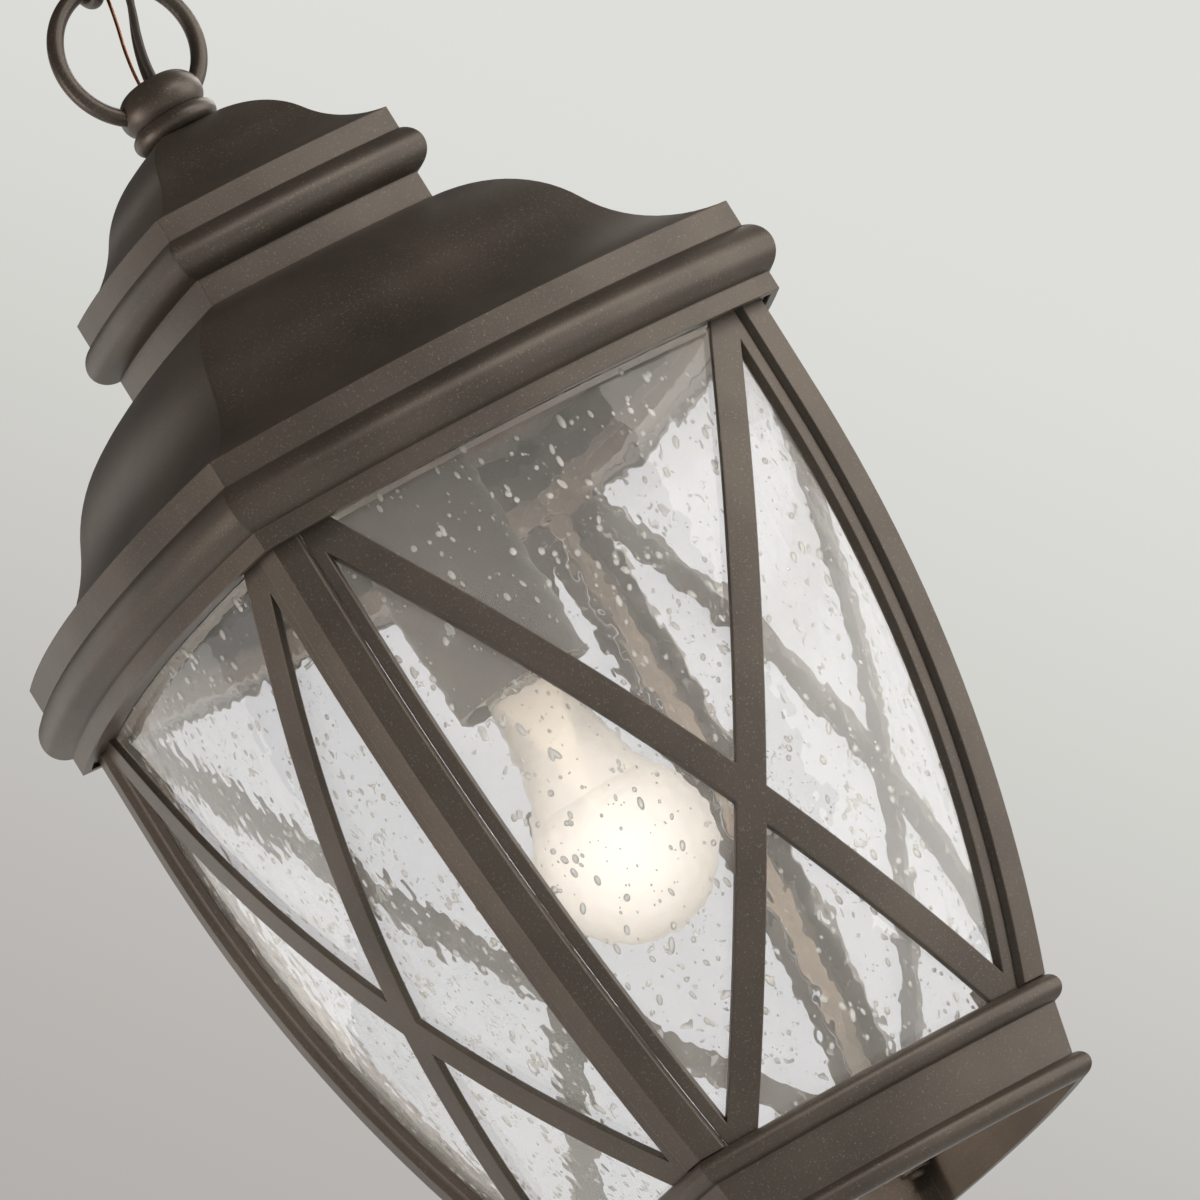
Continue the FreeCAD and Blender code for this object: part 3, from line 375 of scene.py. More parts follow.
def clear_glass(name, tint, wave_mm, wave_height_mm, ior, veil_kind, haze):
    """Clear glass, or air in glass, with slow waves and a share of haze."""
    material, tree, output = finish_named(name)
    where = add(tree, "TexCoord", {}).outputs["Object"]
    slow = add(tree, "TexNoise", {"Vector": where, "Scale": per_metre(wave_mm), "Detail": 2.0})
    wave = add(tree, "Bump", {
        "Height": slow.outputs["Fac"], "Strength": 1.0, "Distance": wave_height_mm * MM,
    })
    sheet = add(tree, "BsdfPrincipled", {
        "Base Color": linear(tint), "Roughness": 0.01, "IOR": ior, "Transmission Weight": 1.0,
        "Normal": wave.outputs["Normal"],
    })
    veil = add(tree, veil_kind, {"Color": linear("F7F4EF")})
    body = add(tree, "MixShader", {0: haze, 1: sheet.outputs["BSDF"], 2: veil.outputs["BSDF"]})
    through = add(tree, "BsdfTransparent", {"Color": linear("F2F4F3")})
    ray = add(tree, "LightPath", {})
    shown = add(tree, "MixShader", {
        0: ray.outputs["Is Shadow Ray"], 1: body.outputs["Shader"], 2: through.outputs["BSDF"],
    })
    tree.links.new(shown.outputs["Shader"], output.inputs["Surface"])
    return material


pane_glass = clear_glass(
    "seeded_soda_lime_glass", "FBFBFC", wave_mm=16, wave_height_mm=0.35, ior=GLASS_IOR,
    veil_kind="BsdfTranslucent", haze=0.06,
)
seed_air = clear_glass(
    "air_trapped_in_glass", "FFFFFF", wave_mm=8, wave_height_mm=0.0, ior=1.0 / GLASS_IOR,
    veil_kind="BsdfDiffuse", haze=0.3,
)
dress(pane_glass, *["glass_" + side for side in SIDES])
print("glass:", pane_glass.name, seed_air.name)

# %% [markdown]
# ## Balls and places for the seeds
# A seed is a bubble of air that was drawn out while the glass was soft. Most are small and
# get a ball with few faces; the few large ones get a rounder ball. Their places are drawn on
# the outer face of a pane, which is found by its normals, because they point away from the
# lantern's axis. A vertex group could mark that face by hand, but a rule needs no marking.

# %% Balls and outer faces
OUTER_AGREEMENT = 0.55


def unit_ball(subdivisions):
    """Corners and faces of a round ball of radius one."""
    ball = bmesh.new()
    bmesh.ops.create_icosphere(ball, subdivisions=subdivisions, radius=1.0)
    ball.verts.index_update()
    corners = [vertex.co.copy() for vertex in ball.verts]
    faces = [[vertex.index for vertex in face.verts] for face in ball.faces]
    ball.free()
    return corners, faces


def outer_triangles(mesh):
    """Corners and normals of the triangles of a pane's outer face, and their areas."""
    mesh.calc_loop_triangles()
    found = []
    areas = []
    for triangle in mesh.loop_triangles:
        a, b, c = (mesh.vertices[i].co.copy() for i in triangle.vertices)
        middle = a + b + c
        way_out = Vector((middle.x, middle.y, 0.0)).normalized()
        if triangle.normal.dot(way_out) > OUTER_AGREEMENT:
            found.append((a, b, c, triangle.normal.copy()))
            areas.append(triangle.area)
    return found, areas


fine_ball = unit_ball(1)
large_ball = unit_ball(2)
print("seeds are balls of", len(fine_ball[1]), "or", len(large_ball[1]), "faces")

# %% [markdown]
# ## Seeds in the panes
# Each seed is a small ellipsoid, stretched a little along the pane and turned at random.
# They could be scattered with a geometry tree, but a seeded loop over the pane's own faces
# puts every one inside the glass and gives the same result on each run. All seeds of one
# pane are one mesh.

# %% Seeds
SEEDS_PER_PANE = 1300
FIRST_DRAW = 40
SEED_DEPTH = 1.5 * MM
DEPTH_PLAY = 0.3
SEED_RADIUS = 0.26 * MM
SEED_GROWTH = 0.92 * MM
RARITY = 3.2
FINE_SEED = 0.45 * MM
STRETCH = 1.1
STRETCH_GROWTH = 1.2
FLATTENING = 0.9
LEAN = 0.5


def surfaced(mesh, finish, smooth):
    """Give a new mesh its finish and its shading."""
    mesh.polygons.foreach_set("use_smooth", [smooth] * len(mesh.polygons))
    mesh.materials.append(finish)


def seeds_of(side, number):
    """All seeds of one pane, as one piece inside its glass."""
    dice = random.Random(FIRST_DRAW + number)
    triangles, areas = outer_triangles(nodes["glass_" + side].data)
    corners = []
    faces = []
    for a, b, c, normal in dice.choices(triangles, weights=areas, k=SEEDS_PER_PANE):
        p, q = dice.random(), dice.random()
        if p + q > 1.0:
            p, q = 1.0 - p, 1.0 - q
        radius = SEED_RADIUS + SEED_GROWTH * dice.random() ** RARITY
        stretch = STRETCH + STRETCH_GROWTH * dice.random() ** 2
        along = Vector((0, 0, 1)).cross(normal).normalized()
        lean = Matrix.Rotation(dice.uniform(-LEAN, LEAN), 3, normal)
        axes = Matrix((lean @ along, lean @ normal.cross(along), normal)).transposed()
        drawn = axes @ Matrix.Diagonal((radius, radius * stretch, radius * FLATTENING))
        depth = SEED_DEPTH + dice.uniform(-DEPTH_PLAY, DEPTH_PLAY) * MM
        centre = a + (b - a) * p + (c - a) * q - normal * depth
        ball_corners, ball_faces = fine_ball if radius < FINE_SEED else large_ball
        start = len(corners)
        corners += [centre + drawn @ corner for corner in ball_corners]
        faces += [[start + index for index in face] for face in ball_faces]
    mesh = bpy.data.meshes.new("seeds_" + side)
    mesh.from_pydata(corners, [], faces)
    surfaced(mesh, seed_air, smooth=True)
    seeds = linked("seeds_" + side, mesh)
    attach(seeds, "lantern")
    print(seeds.name, len(faces), "faces")


for number, side in enumerate(SIDES):
    seeds_of(side, number)

# %% [markdown]
# ## The bulb's glow
# A burning bulb glows warm white, most at its round end, and less where it is seen edge on.
# A point lamp would leave the bulb itself dark; a glow painted down its height looks lit. A
# picture can't show how bright a real bulb is, so the glow is held down where it is seen,
# and is many times stronger for the light that it gives to what is farther off.

# %% Bulb glow
OWN_LIGHT = 30 * MM
FULL_LIGHT = 70 * MM


def looked_at(tree, ray):
    """One where an eye, a mirror or a pane looks at the surface, nought for all other light."""
    mirrored = add(tree, "Math", {
        0: ray.outputs["Is Camera Ray"], 1: ray.outputs["Is Glossy Ray"],
    }, operation="MAXIMUM")
    any_way = add(tree, "Math", {
        0: mirrored.outputs["Value"], 1: ray.outputs["Is Transmission Ray"],
    }, operation="MAXIMUM")
    return any_way.outputs["Value"]


def bulb_glow(tree, height):
    """The glow of the frosted glass, for a height that runs from the neck to the round end."""
    facing = add(tree, "LayerWeight", {"Blend": 0.5})
    dim = add(tree, "MapRange", {
        "Value": facing.outputs["Facing"], "From Min": 0.0, "From Max": 0.75, "To Min": 1.0, "To Max": 0.28,
    })
    power = add(tree, "MapRange", {"Value": height, "To Min": 0.45, "To Max": 1.25})
    bright = add(tree, "Math", {
        0: power.outputs["Result"], 1: dim.outputs["Result"],
    }, operation="MULTIPLY")
    ray = add(tree, "LightPath", {})
    unseen = add(tree, "Math", {0: 1.0, 1: looked_at(tree, ray)}, operation="SUBTRACT")
    farther_off = add(tree, "MapRange", {
        "Value": ray.outputs["Ray Length"], "From Min": OWN_LIGHT, "From Max": FULL_LIGHT,
    })
    lighting = add(tree, "Math", {
        0: unseen.outputs["Value"], 1: farther_off.outputs["Result"],
    }, operation="MULTIPLY")
    spread = add(tree, "MapRange", {"Value": height, "To Min": 300.0, "To Max": 90.0})
    reach = add(tree, "MapRange", {
        "Value": lighting.outputs["Value"], "To Min": 1.0, "To Max": spread.outputs["Result"],
    })
    light = add(tree, "Math", {
        0: bright.outputs["Value"], 1: reach.outputs["Result"],
    }, operation="MULTIPLY")
    return add(tree, "Emission", {"Color": linear("FFF6EA"), "Strength": light.outputs["Value"]})


print("the bulb lights what is farther off than", round(OWN_LIGHT / MM), "mm")

# %% [markdown]
# ## The bulb's glass
# The envelope is frosted inside, so its round end looks milky while the neck stays half
# clear, and at its rim the glass shows more than the glow. A real frosted shell with a lamp
# in it would take far longer to render; glass and glow, mixed by height and toward the rim,
# give the same look. The frost's grain is drawn coarser than the real etching.

# %% Bulb glass
NECK_TOP = 4 * MM
BALL_TOP = 38 * MM
FROST_MM = 1.2
FROST_HEIGHT = 0.05 * MM
bulb_low, bulb_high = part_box("bulb_glass")


def lit_lamp_glass():
    """Frosted glass mixed with its own glow, more of it toward the round end."""
    material, tree, output = finish_named("frosted_lamp_glass_lit")
    where = add(tree, "TexCoord", {}).outputs["Object"]
    level = add(tree, "SeparateXYZ", {"Vector": where})
    height = add(tree, "MapRange", {
        "Value": level.outputs["Z"], "From Min": bulb_high.z - NECK_TOP, "From Max": bulb_low.z + BALL_TOP,
        "To Min": 0.0, "To Max": 1.0,
    }, interpolation_type="SMOOTHSTEP").outputs["Result"]
    glow = bulb_glow(tree, height)
    frost = add(tree, "TexNoise", {"Vector": where, "Scale": per_metre(FROST_MM), "Detail": 2.0})
    skin = add(tree, "Bump", {"Height": frost.outputs["Fac"], "Strength": 0.2, "Distance": FROST_HEIGHT})
    shell = add(tree, "BsdfPrincipled", {
        "Base Color": linear("FAF4EC"), "Roughness": 0.25, "IOR": GLASS_IOR, "Transmission Weight": 0.9,
        "Normal": skin.outputs["Normal"],
    })
    milky = add(tree, "MapRange", {"Value": height, "To Min": 0.35, "To Max": 0.9})
    edge = add(tree, "LayerWeight", {"Blend": 0.4})
    rim = add(tree, "MapRange", {"Value": edge.outputs["Facing"], "To Min": 1.0, "To Max": 0.12})
    glow_share = add(tree, "Math", {
        0: milky.outputs["Result"], 1: rim.outputs["Result"],
    }, operation="MULTIPLY")
    lit = add(tree, "MixShader", {
        0: glow_share.outputs["Value"], 1: shell.outputs["BSDF"], 2: glow.outputs["Emission"],
    })
    tree.links.new(lit.outputs["Shader"], output.inputs["Surface"])
    return material


lamp_glass = lit_lamp_glass()
dress(lamp_glass, "bulb_glass")
print("bulb:", lamp_glass.name, "from", round(bulb_low.z, 4), "to", round(bulb_high.z, 4))

# %% [markdown]
# ## The filament and its stem
# Inside the bulb a glass stem carries a tungsten wire, which hardly shows through the frost.
# They are one solid, so one finish does for both: pale glass above, and a warm glow that
# sets in where the wire is. Two materials on chosen faces would do as well, but a glow that
# grows with depth needs no choice of faces.

# %% Filament
STEM_DARK = 40 * MM
WIRE_LIT = 60 * MM


def glowing_stem():
    """Pale glass that turns to glowing wire farther from the cap."""
    material, tree, output = finish_named("glowing_tungsten_on_glass_stem")
    level = add(tree, "SeparateXYZ", {"Vector": add(tree, "TexCoord", {}).outputs["Object"]})
    wire = add(tree, "MapRange", {
        "Value": level.outputs["Z"], "From Min": bulb_high.z - STEM_DARK, "From Max": bulb_high.z - WIRE_LIT,
        "To Min": 0.0, "To Max": 6.0,
    })
    stem = add(tree, "BsdfPrincipled", {
        "Base Color": linear("E9E4D8"), "Roughness": 0.2, "Emission Color": linear("FFD9A0"),
        "Emission Strength": wire.outputs["Result"],
    })
    tree.links.new(stem.outputs["BSDF"], output.inputs["Surface"])
    return material


hot_wire = glowing_stem()
dress(hot_wire, "bulb_filament")
print("filament:", hot_wire.name)

# %% [markdown]
# ## Brown cable jacket
# The supply lead's jacket is soft brown PVC, pressed through a die, which leaves a satin
# skin with faint drawn-out unevenness. One flat colour would look like paint, so the tone
# and the skin both follow a small cloud pattern.

# %% Cable jacket
JACKET_CLOUD_MM = 2.5
JACKET_HEIGHT = 0.1 * MM


def extruded_pvc():
    """Satin brown plastic with a faintly uneven skin."""
    material, tree, output = finish_named("extruded_brown_pvc")
    where = add(tree, "TexCoord", {}).outputs["Object"]
    cloud = add(tree, "TexNoise", {"Vector": where, "Scale": per_metre(JACKET_CLOUD_MM), "Detail": 3.0})
    tone = add(tree, "MixRGB", {
        "Fac": cloud.outputs["Fac"], "Color1": linear("2E251E"), "Color2": linear("3D3128"),
    })
    skin = add(tree, "Bump", {"Height": cloud.outputs["Fac"], "Strength": 0.2, "Distance": JACKET_HEIGHT})
    jacket = add(tree, "BsdfPrincipled", {
        "Base Color": tone.outputs["Color"], "Roughness": 0.38, "Normal": skin.outputs["Normal"],
    })
    tree.links.new(jacket.outputs["BSDF"], output.inputs["Surface"])
    return material


flex = extruded_pvc()
print("cable jacket:", flex.name)

# %% [markdown]
# ## The route of the leads
# Two slack leads climb from the hub beside the chain into the ceiling loop: a brown twin
# flex and a bare copper earth. A curve object with a bevel could draw them, but the flex is
# flat and twists as it climbs, so each lead is swept in a mesh instead, along the points of
# one NURBS spline whose control points are the route of its solid.

# %% Lead routes
HUB_TOP = 140.0
STEM_BOTTOM = 253.8
TAIL = 10.0
SLACK = (
    (0.0, 0.0), (0.11, 0.2), (0.22, 0.6), (0.36, 0.93), (0.52, 1.0),
    (0.66, 0.95), (0.78, 0.72), (0.885, 0.33), (1.0, 0.0),
)


def level_of(height):
    """Level in metres of a height in mm above the eaves."""
    return height * MM + EAVES.z


def lead_route(start, start_heading, swing, swing_heading):
    """Control points of a lead: it starts off the axis and swings out between hub and stem."""
    a, b = math.radians(start_heading), math.radians(swing_heading)
    first = Vector((math.cos(a), math.sin(a), 0.0)) * start
    sideways = Vector((math.cos(b), math.sin(b), 0.0)) * swing
    climb = STEM_BOTTOM - HUB_TOP
    steps = [(-TAIL, 0.0)]
    steps += [(climb * share, slack) for share, slack in SLACK]
    steps += [(climb + TAIL, 0.0)]
    spots = [first + sideways * slack + Vector((0, 0, HUB_TOP + rise)) for rise, slack in steps]
    return [spot * MM + EAVES for spot in spots]


def spline_points(name, route):
    """Points read from the NURBS spline that the route controls."""
    curve = bpy.data.curves.new(name + "_line", "CURVE")
    curve.dimensions = "3D"
    spline = curve.splines.new("NURBS")
    spline.points.add(len(route) - 1)
    for point, spot in zip(spline.points, route):
        point.co = (*spot, 1.0)
    spline.order_u = 3
    spline.use_endpoint_u = True
    spline.resolution_u = 12
    line = bpy.data.objects.new(name + "_line", curve)
    mesh = bpy.data.meshes.new_from_object(line)
    found = [vertex.co.copy() for vertex in mesh.vertices]
    bpy.data.meshes.remove(mesh)
    bpy.data.objects.remove(line)
    bpy.data.curves.remove(curve)
    return found


cable_route = lead_route(start=1.0, start_heading=-45, swing=14.6, swing_heading=-45)
earth_route = lead_route(start=3.0, start_heading=135, swing=12.0, swing_heading=20)
cable_line = spline_points("supply_lead", cable_route)
earth_line = spline_points("earth_lead", earth_route)
print("lead routes:", len(cable_line), "and", len(earth_line), "points")

# %% [markdown]
# ## Outlines of flex and wire
# The flex has two round cores side by side, so its outline is two part circles joined by a
# thin web; the earth is a plain round wire. The flex could be two tubes, but then no web
# would join them.

# %% Lead outlines
CORE_RADIUS = 1.3 * MM
CORE_POINTS = 9
CORE_ARC = 300
EARTH_RADIUS = 0.6 * MM
EARTH_POINTS = 10


def twin_section(core, count):
    """Outline of two round cores side by side, joined by a thin web."""
    outline = []
    for side in (1, -1):
        for step in range(count):
            angle = math.radians(CORE_ARC * step / (count - 1) - CORE_ARC / 2)
            outline.append((side * (core + core * math.cos(angle)), side * core * math.sin(angle)))
    return outline


def round_section(radius, count):
    """Outline of a round wire."""
    steps = [2 * math.pi * step / count for step in range(count)]
    return [(radius * math.cos(angle), radius * math.sin(angle)) for angle in steps]


flex_outline = twin_section(CORE_RADIUS, CORE_POINTS)
earth_outline = round_section(EARTH_RADIUS, EARTH_POINTS)
print("outlines of", len(flex_outline), "and", len(earth_outline), "points")

# %% [markdown]
# ## Sweeping an outline
# A lead is its outline carried along the route: at each point a ring of corners stands
# across the way ahead, and bands of faces join the rings. A curve's bevel does the same for
# round cords. Here each ring is also turned a little more than the last, which gives the
# flex its twist.

# %% Sweep
def meshed(name, shape):
    """A mesh of a finished shape, which is then let go."""
    mesh = bpy.data.meshes.new(name)
    shape.to_mesh(mesh)
    shape.free()
    return mesh


def walled(shape, rings, following_rings):
    """Join each ring of corners to the one that follows it with a band of faces."""
    for ring, following in zip(rings, following_rings):
        for i in range(len(ring)):
            j = (i + 1) % len(ring)
            shape.faces.new((ring[i], ring[j], following[j], following[i]))


def sweep(name, line, section, facing, twist, finish, ends):
    """A tube with this section along a line of points, turned by twist for each metre of height."""
    tube = bmesh.new()
    rings = []
    for index, spot in enumerate(line):
        ahead = line[min(index + 1, len(line) - 1)] - line[max(index - 1, 0)]
        ahead.normalize()
        turned = Matrix.Rotation(twist * (spot.z - level_of(HUB_TOP)), 3, "Z") @ facing
        across = (turned - ahead * turned.dot(ahead)).normalized()
        over = ahead.cross(across)
        rings.append([tube.verts.new(spot + across * x + over * y) for x, y in section])
    walled(tube, rings, rings[1:])
    if "low" in ends:
        tube.faces.new(list(reversed(rings[0])))
    if "high" in ends:
        tube.faces.new(rings[-1])
    mesh = meshed(name, tube)
    surfaced(mesh, finish, smooth=True)
    return linked(name, mesh)


print("the flex is turned from the hub's top, at", round(level_of(HUB_TOP), 4))

# %% [markdown]
# ## The supply lead and the earth wire
# The flex brings the current, and the bare wire earths the metal. The chain bends at three
# places, so each lead is three lengths of one sweep, one beside each pair of bodies. One
# long piece could not follow three hinges.

# %% Leads
EARTH_FACING = Vector((1.0, 0.0, 0.0))
FLEX_FACING = Vector((-0.44, 0.9, 0.0))
FLEX_TWIST = -math.radians(90) / (45 * MM)
LOWER_JOIN = 187.0
UPPER_JOIN = 219.0
TOUCH = 1e-6

# Each length: its name, the bodies below and above it, its lowest and highest level, the
# levels where its bend starts and ends, all in mm above the eaves, and its closed ends.
LENGTHS = (
    ("lower", "lantern", "chain_link_1", -math.inf, LOWER_JOIN, 153.0, 184.0, ("low",)),
    ("middle", "chain_link_1", "chain_link_2", LOWER_JOIN, UPPER_JOIN, 190.0, 213.0, ()),
    ("upper", "chain_link_2", "canopy", UPPER_JOIN, math.inf, 221.0, 244.0, ("high",)),
)


def lead(name, node, line, section, facing, twist, finish):
    """One lead in its three lengths, in place of its solid."""
    for part, below, above, low, high, start, end, ends in LENGTHS:
        rising = [p for p in line if p.z >= level_of(low) - TOUCH]
        inside = [p for p in rising if p.z <= level_of(high)]
        chosen = inside + [p for p in rising if p.z > level_of(high)][:1]
        piece = sweep(name + "_" + part, chosen, section, facing, twist, finish, ends)
        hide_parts(node)
        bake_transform(piece)


lead("supply_lead", "supply_cable", cable_line, flex_outline, facing=FLEX_FACING, twist=FLEX_TWIST,
     finish=flex)
lead("earth_lead", "ground_wire", earth_line, earth_outline, facing=EARTH_FACING, twist=0.0,
     finish=copper)

# %% [markdown]
# ## Small hardware
# Threads, knurls and screw recesses are too fine for the solids, yet they are what makes
# hardware look real. They could be bump maps, but a thread's outline shows at the edge, so
# it is turned here: a profile is spun round an axis, and where it is threaded its radius
# rises and falls with height and angle together, which makes the ridge climb. One function
# serves the tube, the bulb's cap, the screws, the welds and the lock ring.

# %% Turning
POINTS_PER_TURN = 4


def climbing(pitch):
    """The ridge of a thread that climbs by one pitch in each turn."""
    def ridge(height, turned):
        return 0.5 + 0.5 * math.cos(2 * math.pi * (height / pitch - turned))
    return ridge


def plain(height, turned):
    """No ridge at any height or angle."""
    return 0.0


def spun(profile, steps, ridge, hollow):
    """A profile of (radius, height, depth) in mm spun upright; ridge says how much depth is cut away."""
    shape = bmesh.new()
    rings = []
    for radius, height, depth in profile:
        ring = []
        for step in range(steps):
            angle = 2 * math.pi * step / steps
            reach = radius - depth * ridge(height, step / steps)
            spot = Vector((reach * math.cos(angle), reach * math.sin(angle), height))
            ring.append(shape.verts.new(spot * MM))
        rings.append(ring)
    if hollow:
        walled(shape, rings, rings[1:] + rings[:1])
    else:
        walled(shape, rings, rings[1:])
        shape.faces.new(rings[0])
        shape.faces.new(rings[-1])
    bmesh.ops.recalc_face_normals(shape, faces=shape.faces)
    return shape


def threaded(radius, low, high, pitch, depth):
    """Profile points of a thread between two heights."""
    count = int((high - low) / pitch * POINTS_PER_TURN)
    return [(radius, low + (high - low) * step / count, depth) for step in range(count + 1)]


print("turning tools ready, with", POINTS_PER_TURN, "profile points to each turn of a thread")

# %% [markdown]
# ## Placing what was turned
# A shape is turned round the origin, in the sizes of its solid. It is then lifted to its
# place, made a mesh with its finish, and tied to the body that carries it. An object could
# be moved instead, but with its corners in place its own matrix stays plain.

# %% Placing
def lifted(shape, spot):
    """Move a shape from the axis to a spot given in mm above the eaves."""
    bmesh.ops.translate(shape, verts=shape.verts, vec=Vector(spot) * MM + EAVES)
    return shape


def heights_of(node):
    """Lowest and highest level of a loaded solid, in mm above the eaves."""
    low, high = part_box(node)
    return (low.z - EAVES.z) / MM, (high.z - EAVES.z) / MM


def settle(name, shape, finish, body, replaced, smooth):
    """Turn a finished shape into a piece that rides on a body."""
    mesh = meshed(name, shape)
    surfaced(mesh, finish, smooth)
    piece = linked(name, mesh)
    if replaced:
        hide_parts(replaced)
    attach(piece, body)
    print(name, len(mesh.polygons), "faces")


print("the roof lies between", [round(level, 2) for level in heights_of("roof")], "mm from the eaves")

# %% [markdown]
# ## The threaded tube
# The tube that draws the roof, crown and hub together is threaded all along, ten
# millimetres across with one turn in each millimetre and a half. A cut thread has a sharper
# ridge, but a rounded one reads the same at this size and needs few points to each turn.

# %% Threaded tube
AXIS = (0, 0, 0)
TUBE_RADIUS = 5.0
TUBE_BORE = 4.0
TUBE_PITCH = 1.5
TUBE_RIDGE = 0.5
TUBE_STEPS = 20
tube_bottom, tube_top = heights_of("centre_tube")
tube_profile = threaded(TUBE_RADIUS, tube_bottom, tube_top, TUBE_PITCH, TUBE_RIDGE)
tube_profile += [(TUBE_BORE, tube_top, 0.0), (TUBE_BORE, tube_bottom, 0.0)]
tube_shape = lifted(spun(tube_profile, TUBE_STEPS, climbing(TUBE_PITCH), hollow=True), AXIS)
settle("threaded_tube", tube_shape, zinc, "lantern", "centre_tube", smooth=False)

# %% [markdown]
# ## The bulb's cap
# The cap that screws into the lampholder is pressed from thin metal, so its thread is
# rounder and coarser. It lies between a plain collar and the shoulder that leads to the
# contact. It is the tube's trick at a larger size, but with closed ends.

# %% Bulb cap
CAP_RADIUS = 13.05
CAP_COLLAR = 4.0
CAP_PITCH = 3.6
CAP_RIDGE = 1.0
CAP_STEPS = 40
THREAD_BOTTOM = 5.0
THREAD_TOP = 23.0
SHOULDER_RADIUS = 12.3
SHOULDER_RISE = 24.5
INSULATOR_RADIUS = 9.0
INSULATOR_RISE = 27.5
CONTACT_RADIUS = 5.0
CONTACT_TIP = 4.0
CONTACT_HEIGHT = 1.0
cap_bottom, cap_top = heights_of("bulb_cap")
cap_profile = [(CAP_RADIUS, cap_bottom, 0.0), (CAP_RADIUS, cap_bottom + CAP_COLLAR, 0.0)]
cap_profile += threaded(
    CAP_RADIUS, cap_bottom + THREAD_BOTTOM, cap_bottom + THREAD_TOP, CAP_PITCH, CAP_RIDGE
)
cap_profile += [
    (SHOULDER_RADIUS, cap_bottom + SHOULDER_RISE, 0.0), (INSULATOR_RADIUS, cap_bottom + INSULATOR_RISE, 0.0),
    (CONTACT_RADIUS, cap_top - CONTACT_HEIGHT, 0.0), (CONTACT_TIP, cap_top, 0.0),
]
cap_shape = lifted(spun(cap_profile, CAP_STEPS, climbing(CAP_PITCH), hollow=False), AXIS)
settle("threaded_cap", cap_shape, nickel, "bulb", "bulb_cap", smooth=True)

# %% [markdown]
# ## A pan-head screw
# The screws have a domed head with a crossed recess and a fine thread. The recess could be
# painted on, but from below the heads are close to the eye, so a Boolean modifier cuts it
# with two crossed blades.

# %% Screw
HEAD_RADIUS = 3.0
HEAD_HEIGHT = 2.2
HEAD = ((1.5, 0.0), (HEAD_RADIUS, 0.0), (HEAD_RADIUS, -0.9), (2.7, -1.6), (2.0, -2.0), (1.0, -HEAD_HEIGHT))
SHANK_RADIUS = 1.6
SHANK_PITCH = 0.7
SHANK_RIDGE = 0.35
PLAIN_NECK = 1.0
TIP_LENGTH = 0.5
TIP_RADIUS = 1.1
SCREW_STEPS = 24
RECESS_LENGTH = 3.2
RECESS_WIDTH = 0.75
RECESS_DEPTH = 1.2


def recess_cutter():
    """Two crossed blades that stand in the end of the head."""
    cutter = bmesh.new()
    middle = Matrix.Translation((0, 0, -HEAD_HEIGHT * MM))
    for long_side, short_side in ((RECESS_LENGTH, RECESS_WIDTH), (RECESS_WIDTH, RECESS_LENGTH)):
        size = Matrix.Diagonal((long_side * MM, short_side * MM, 2 * RECESS_DEPTH * MM, 1.0))
        bmesh.ops.create_cube(cutter, size=1.0, matrix=middle @ size)
    return cutter


def pan_head_screw(shank):
    """One screw, head down with its seat at zero, as a mesh."""
    profile = [(TIP_RADIUS, shank, 0.0)]
    profile += reversed(threaded(SHANK_RADIUS, PLAIN_NECK, shank - TIP_LENGTH, SHANK_PITCH, SHANK_RIDGE))
    profile += [(radius, height, 0.0) for radius, height in HEAD]
    blank_shape = spun(profile, SCREW_STEPS, climbing(SHANK_PITCH), hollow=False)
    blank = linked("screw_blank", meshed("screw_blank", blank_shape))
    tool = linked("recess_cutter", meshed("recess_cutter", recess_cutter()))
    cut = blank.modifiers.new("recess", "BOOLEAN")
    cut.operation = "DIFFERENCE"
    cut.solver = "EXACT"
    cut.use_self = True
    cut.object = tool
    bpy.context.view_layer.update()
    made = bpy.data.meshes.new_from_object(blank.evaluated_get(bpy.context.evaluated_depsgraph_get()))
    for thing in (blank, tool):
        bpy.data.meshes.remove(thing.data)
    return made


print("screw heads are", 2 * HEAD_RADIUS, "mm across")

# %% [markdown]
# ## Two sets of screws
# Four zinc screws hold the cage to the roof, out of sight, and four that are coated like
# the castings hold the base to the posts. An array modifier would make four alike; here one
# screw is copied to the four corners, each turned differently, as a screwdriver leaves
# them.

# %% Screw sets
FIRST_TURN = 0.4
FURTHER_TURN = 1.3
CORNERS = ((1, 1), (-1, 1), (-1, -1), (1, -1))


def screw_set(name, node, head_up, finish):
    """Four screws in the corners, where the solid's own four are."""
    low, high = heights_of(node)
    seat = high - HEAD_HEIGHT if head_up else low + HEAD_HEIGHT
    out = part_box(node)[1].x / MM - HEAD_RADIUS
    one = pan_head_screw(high - low - HEAD_HEIGHT)
    flip = Matrix.Rotation(math.pi, 4, "X") if head_up else Matrix.Identity(4)
    shape = bmesh.new()
    for number, (x, y) in enumerate(CORNERS):
        before = set(shape.verts)
        shape.from_mesh(one)
        fresh = [vertex for vertex in shape.verts if vertex not in before]
        spin = Matrix.Rotation(FIRST_TURN + FURTHER_TURN * number, 4, "Z")
        corner = Matrix.Translation(Vector((x * out, y * out, seat)) * MM + EAVES)
        bmesh.ops.transform(shape, matrix=corner @ flip @ spin, verts=fresh)
    settle(name, shape, finish, "lantern", node, smooth=False)


screw_set("base_pan_heads", "base_screws", head_up=False, finish=steel_coat)
screw_set("frame_pan_heads", "frame_screws", head_up=True, finish=zinc)

# %% [markdown]
# ## Chain welds
# A chain link is bent from wire and welded shut in the middle of one side, which leaves a
# small swelling. It could be sculpted into the link, but the link stays as it was loaded,
# so the swelling is a short hollow sleeve round its wire.

# %% Welds
LINK_REACH = 8.5
WELD_STEPS = 20
SWELLING = (
    (1.6, -2.6), (2.0, -2.6), (2.16, -1.5), (2.3, -0.4), (2.27, 0.5), (2.14, 1.5), (2.0, 2.6), (1.6, 2.6),
)


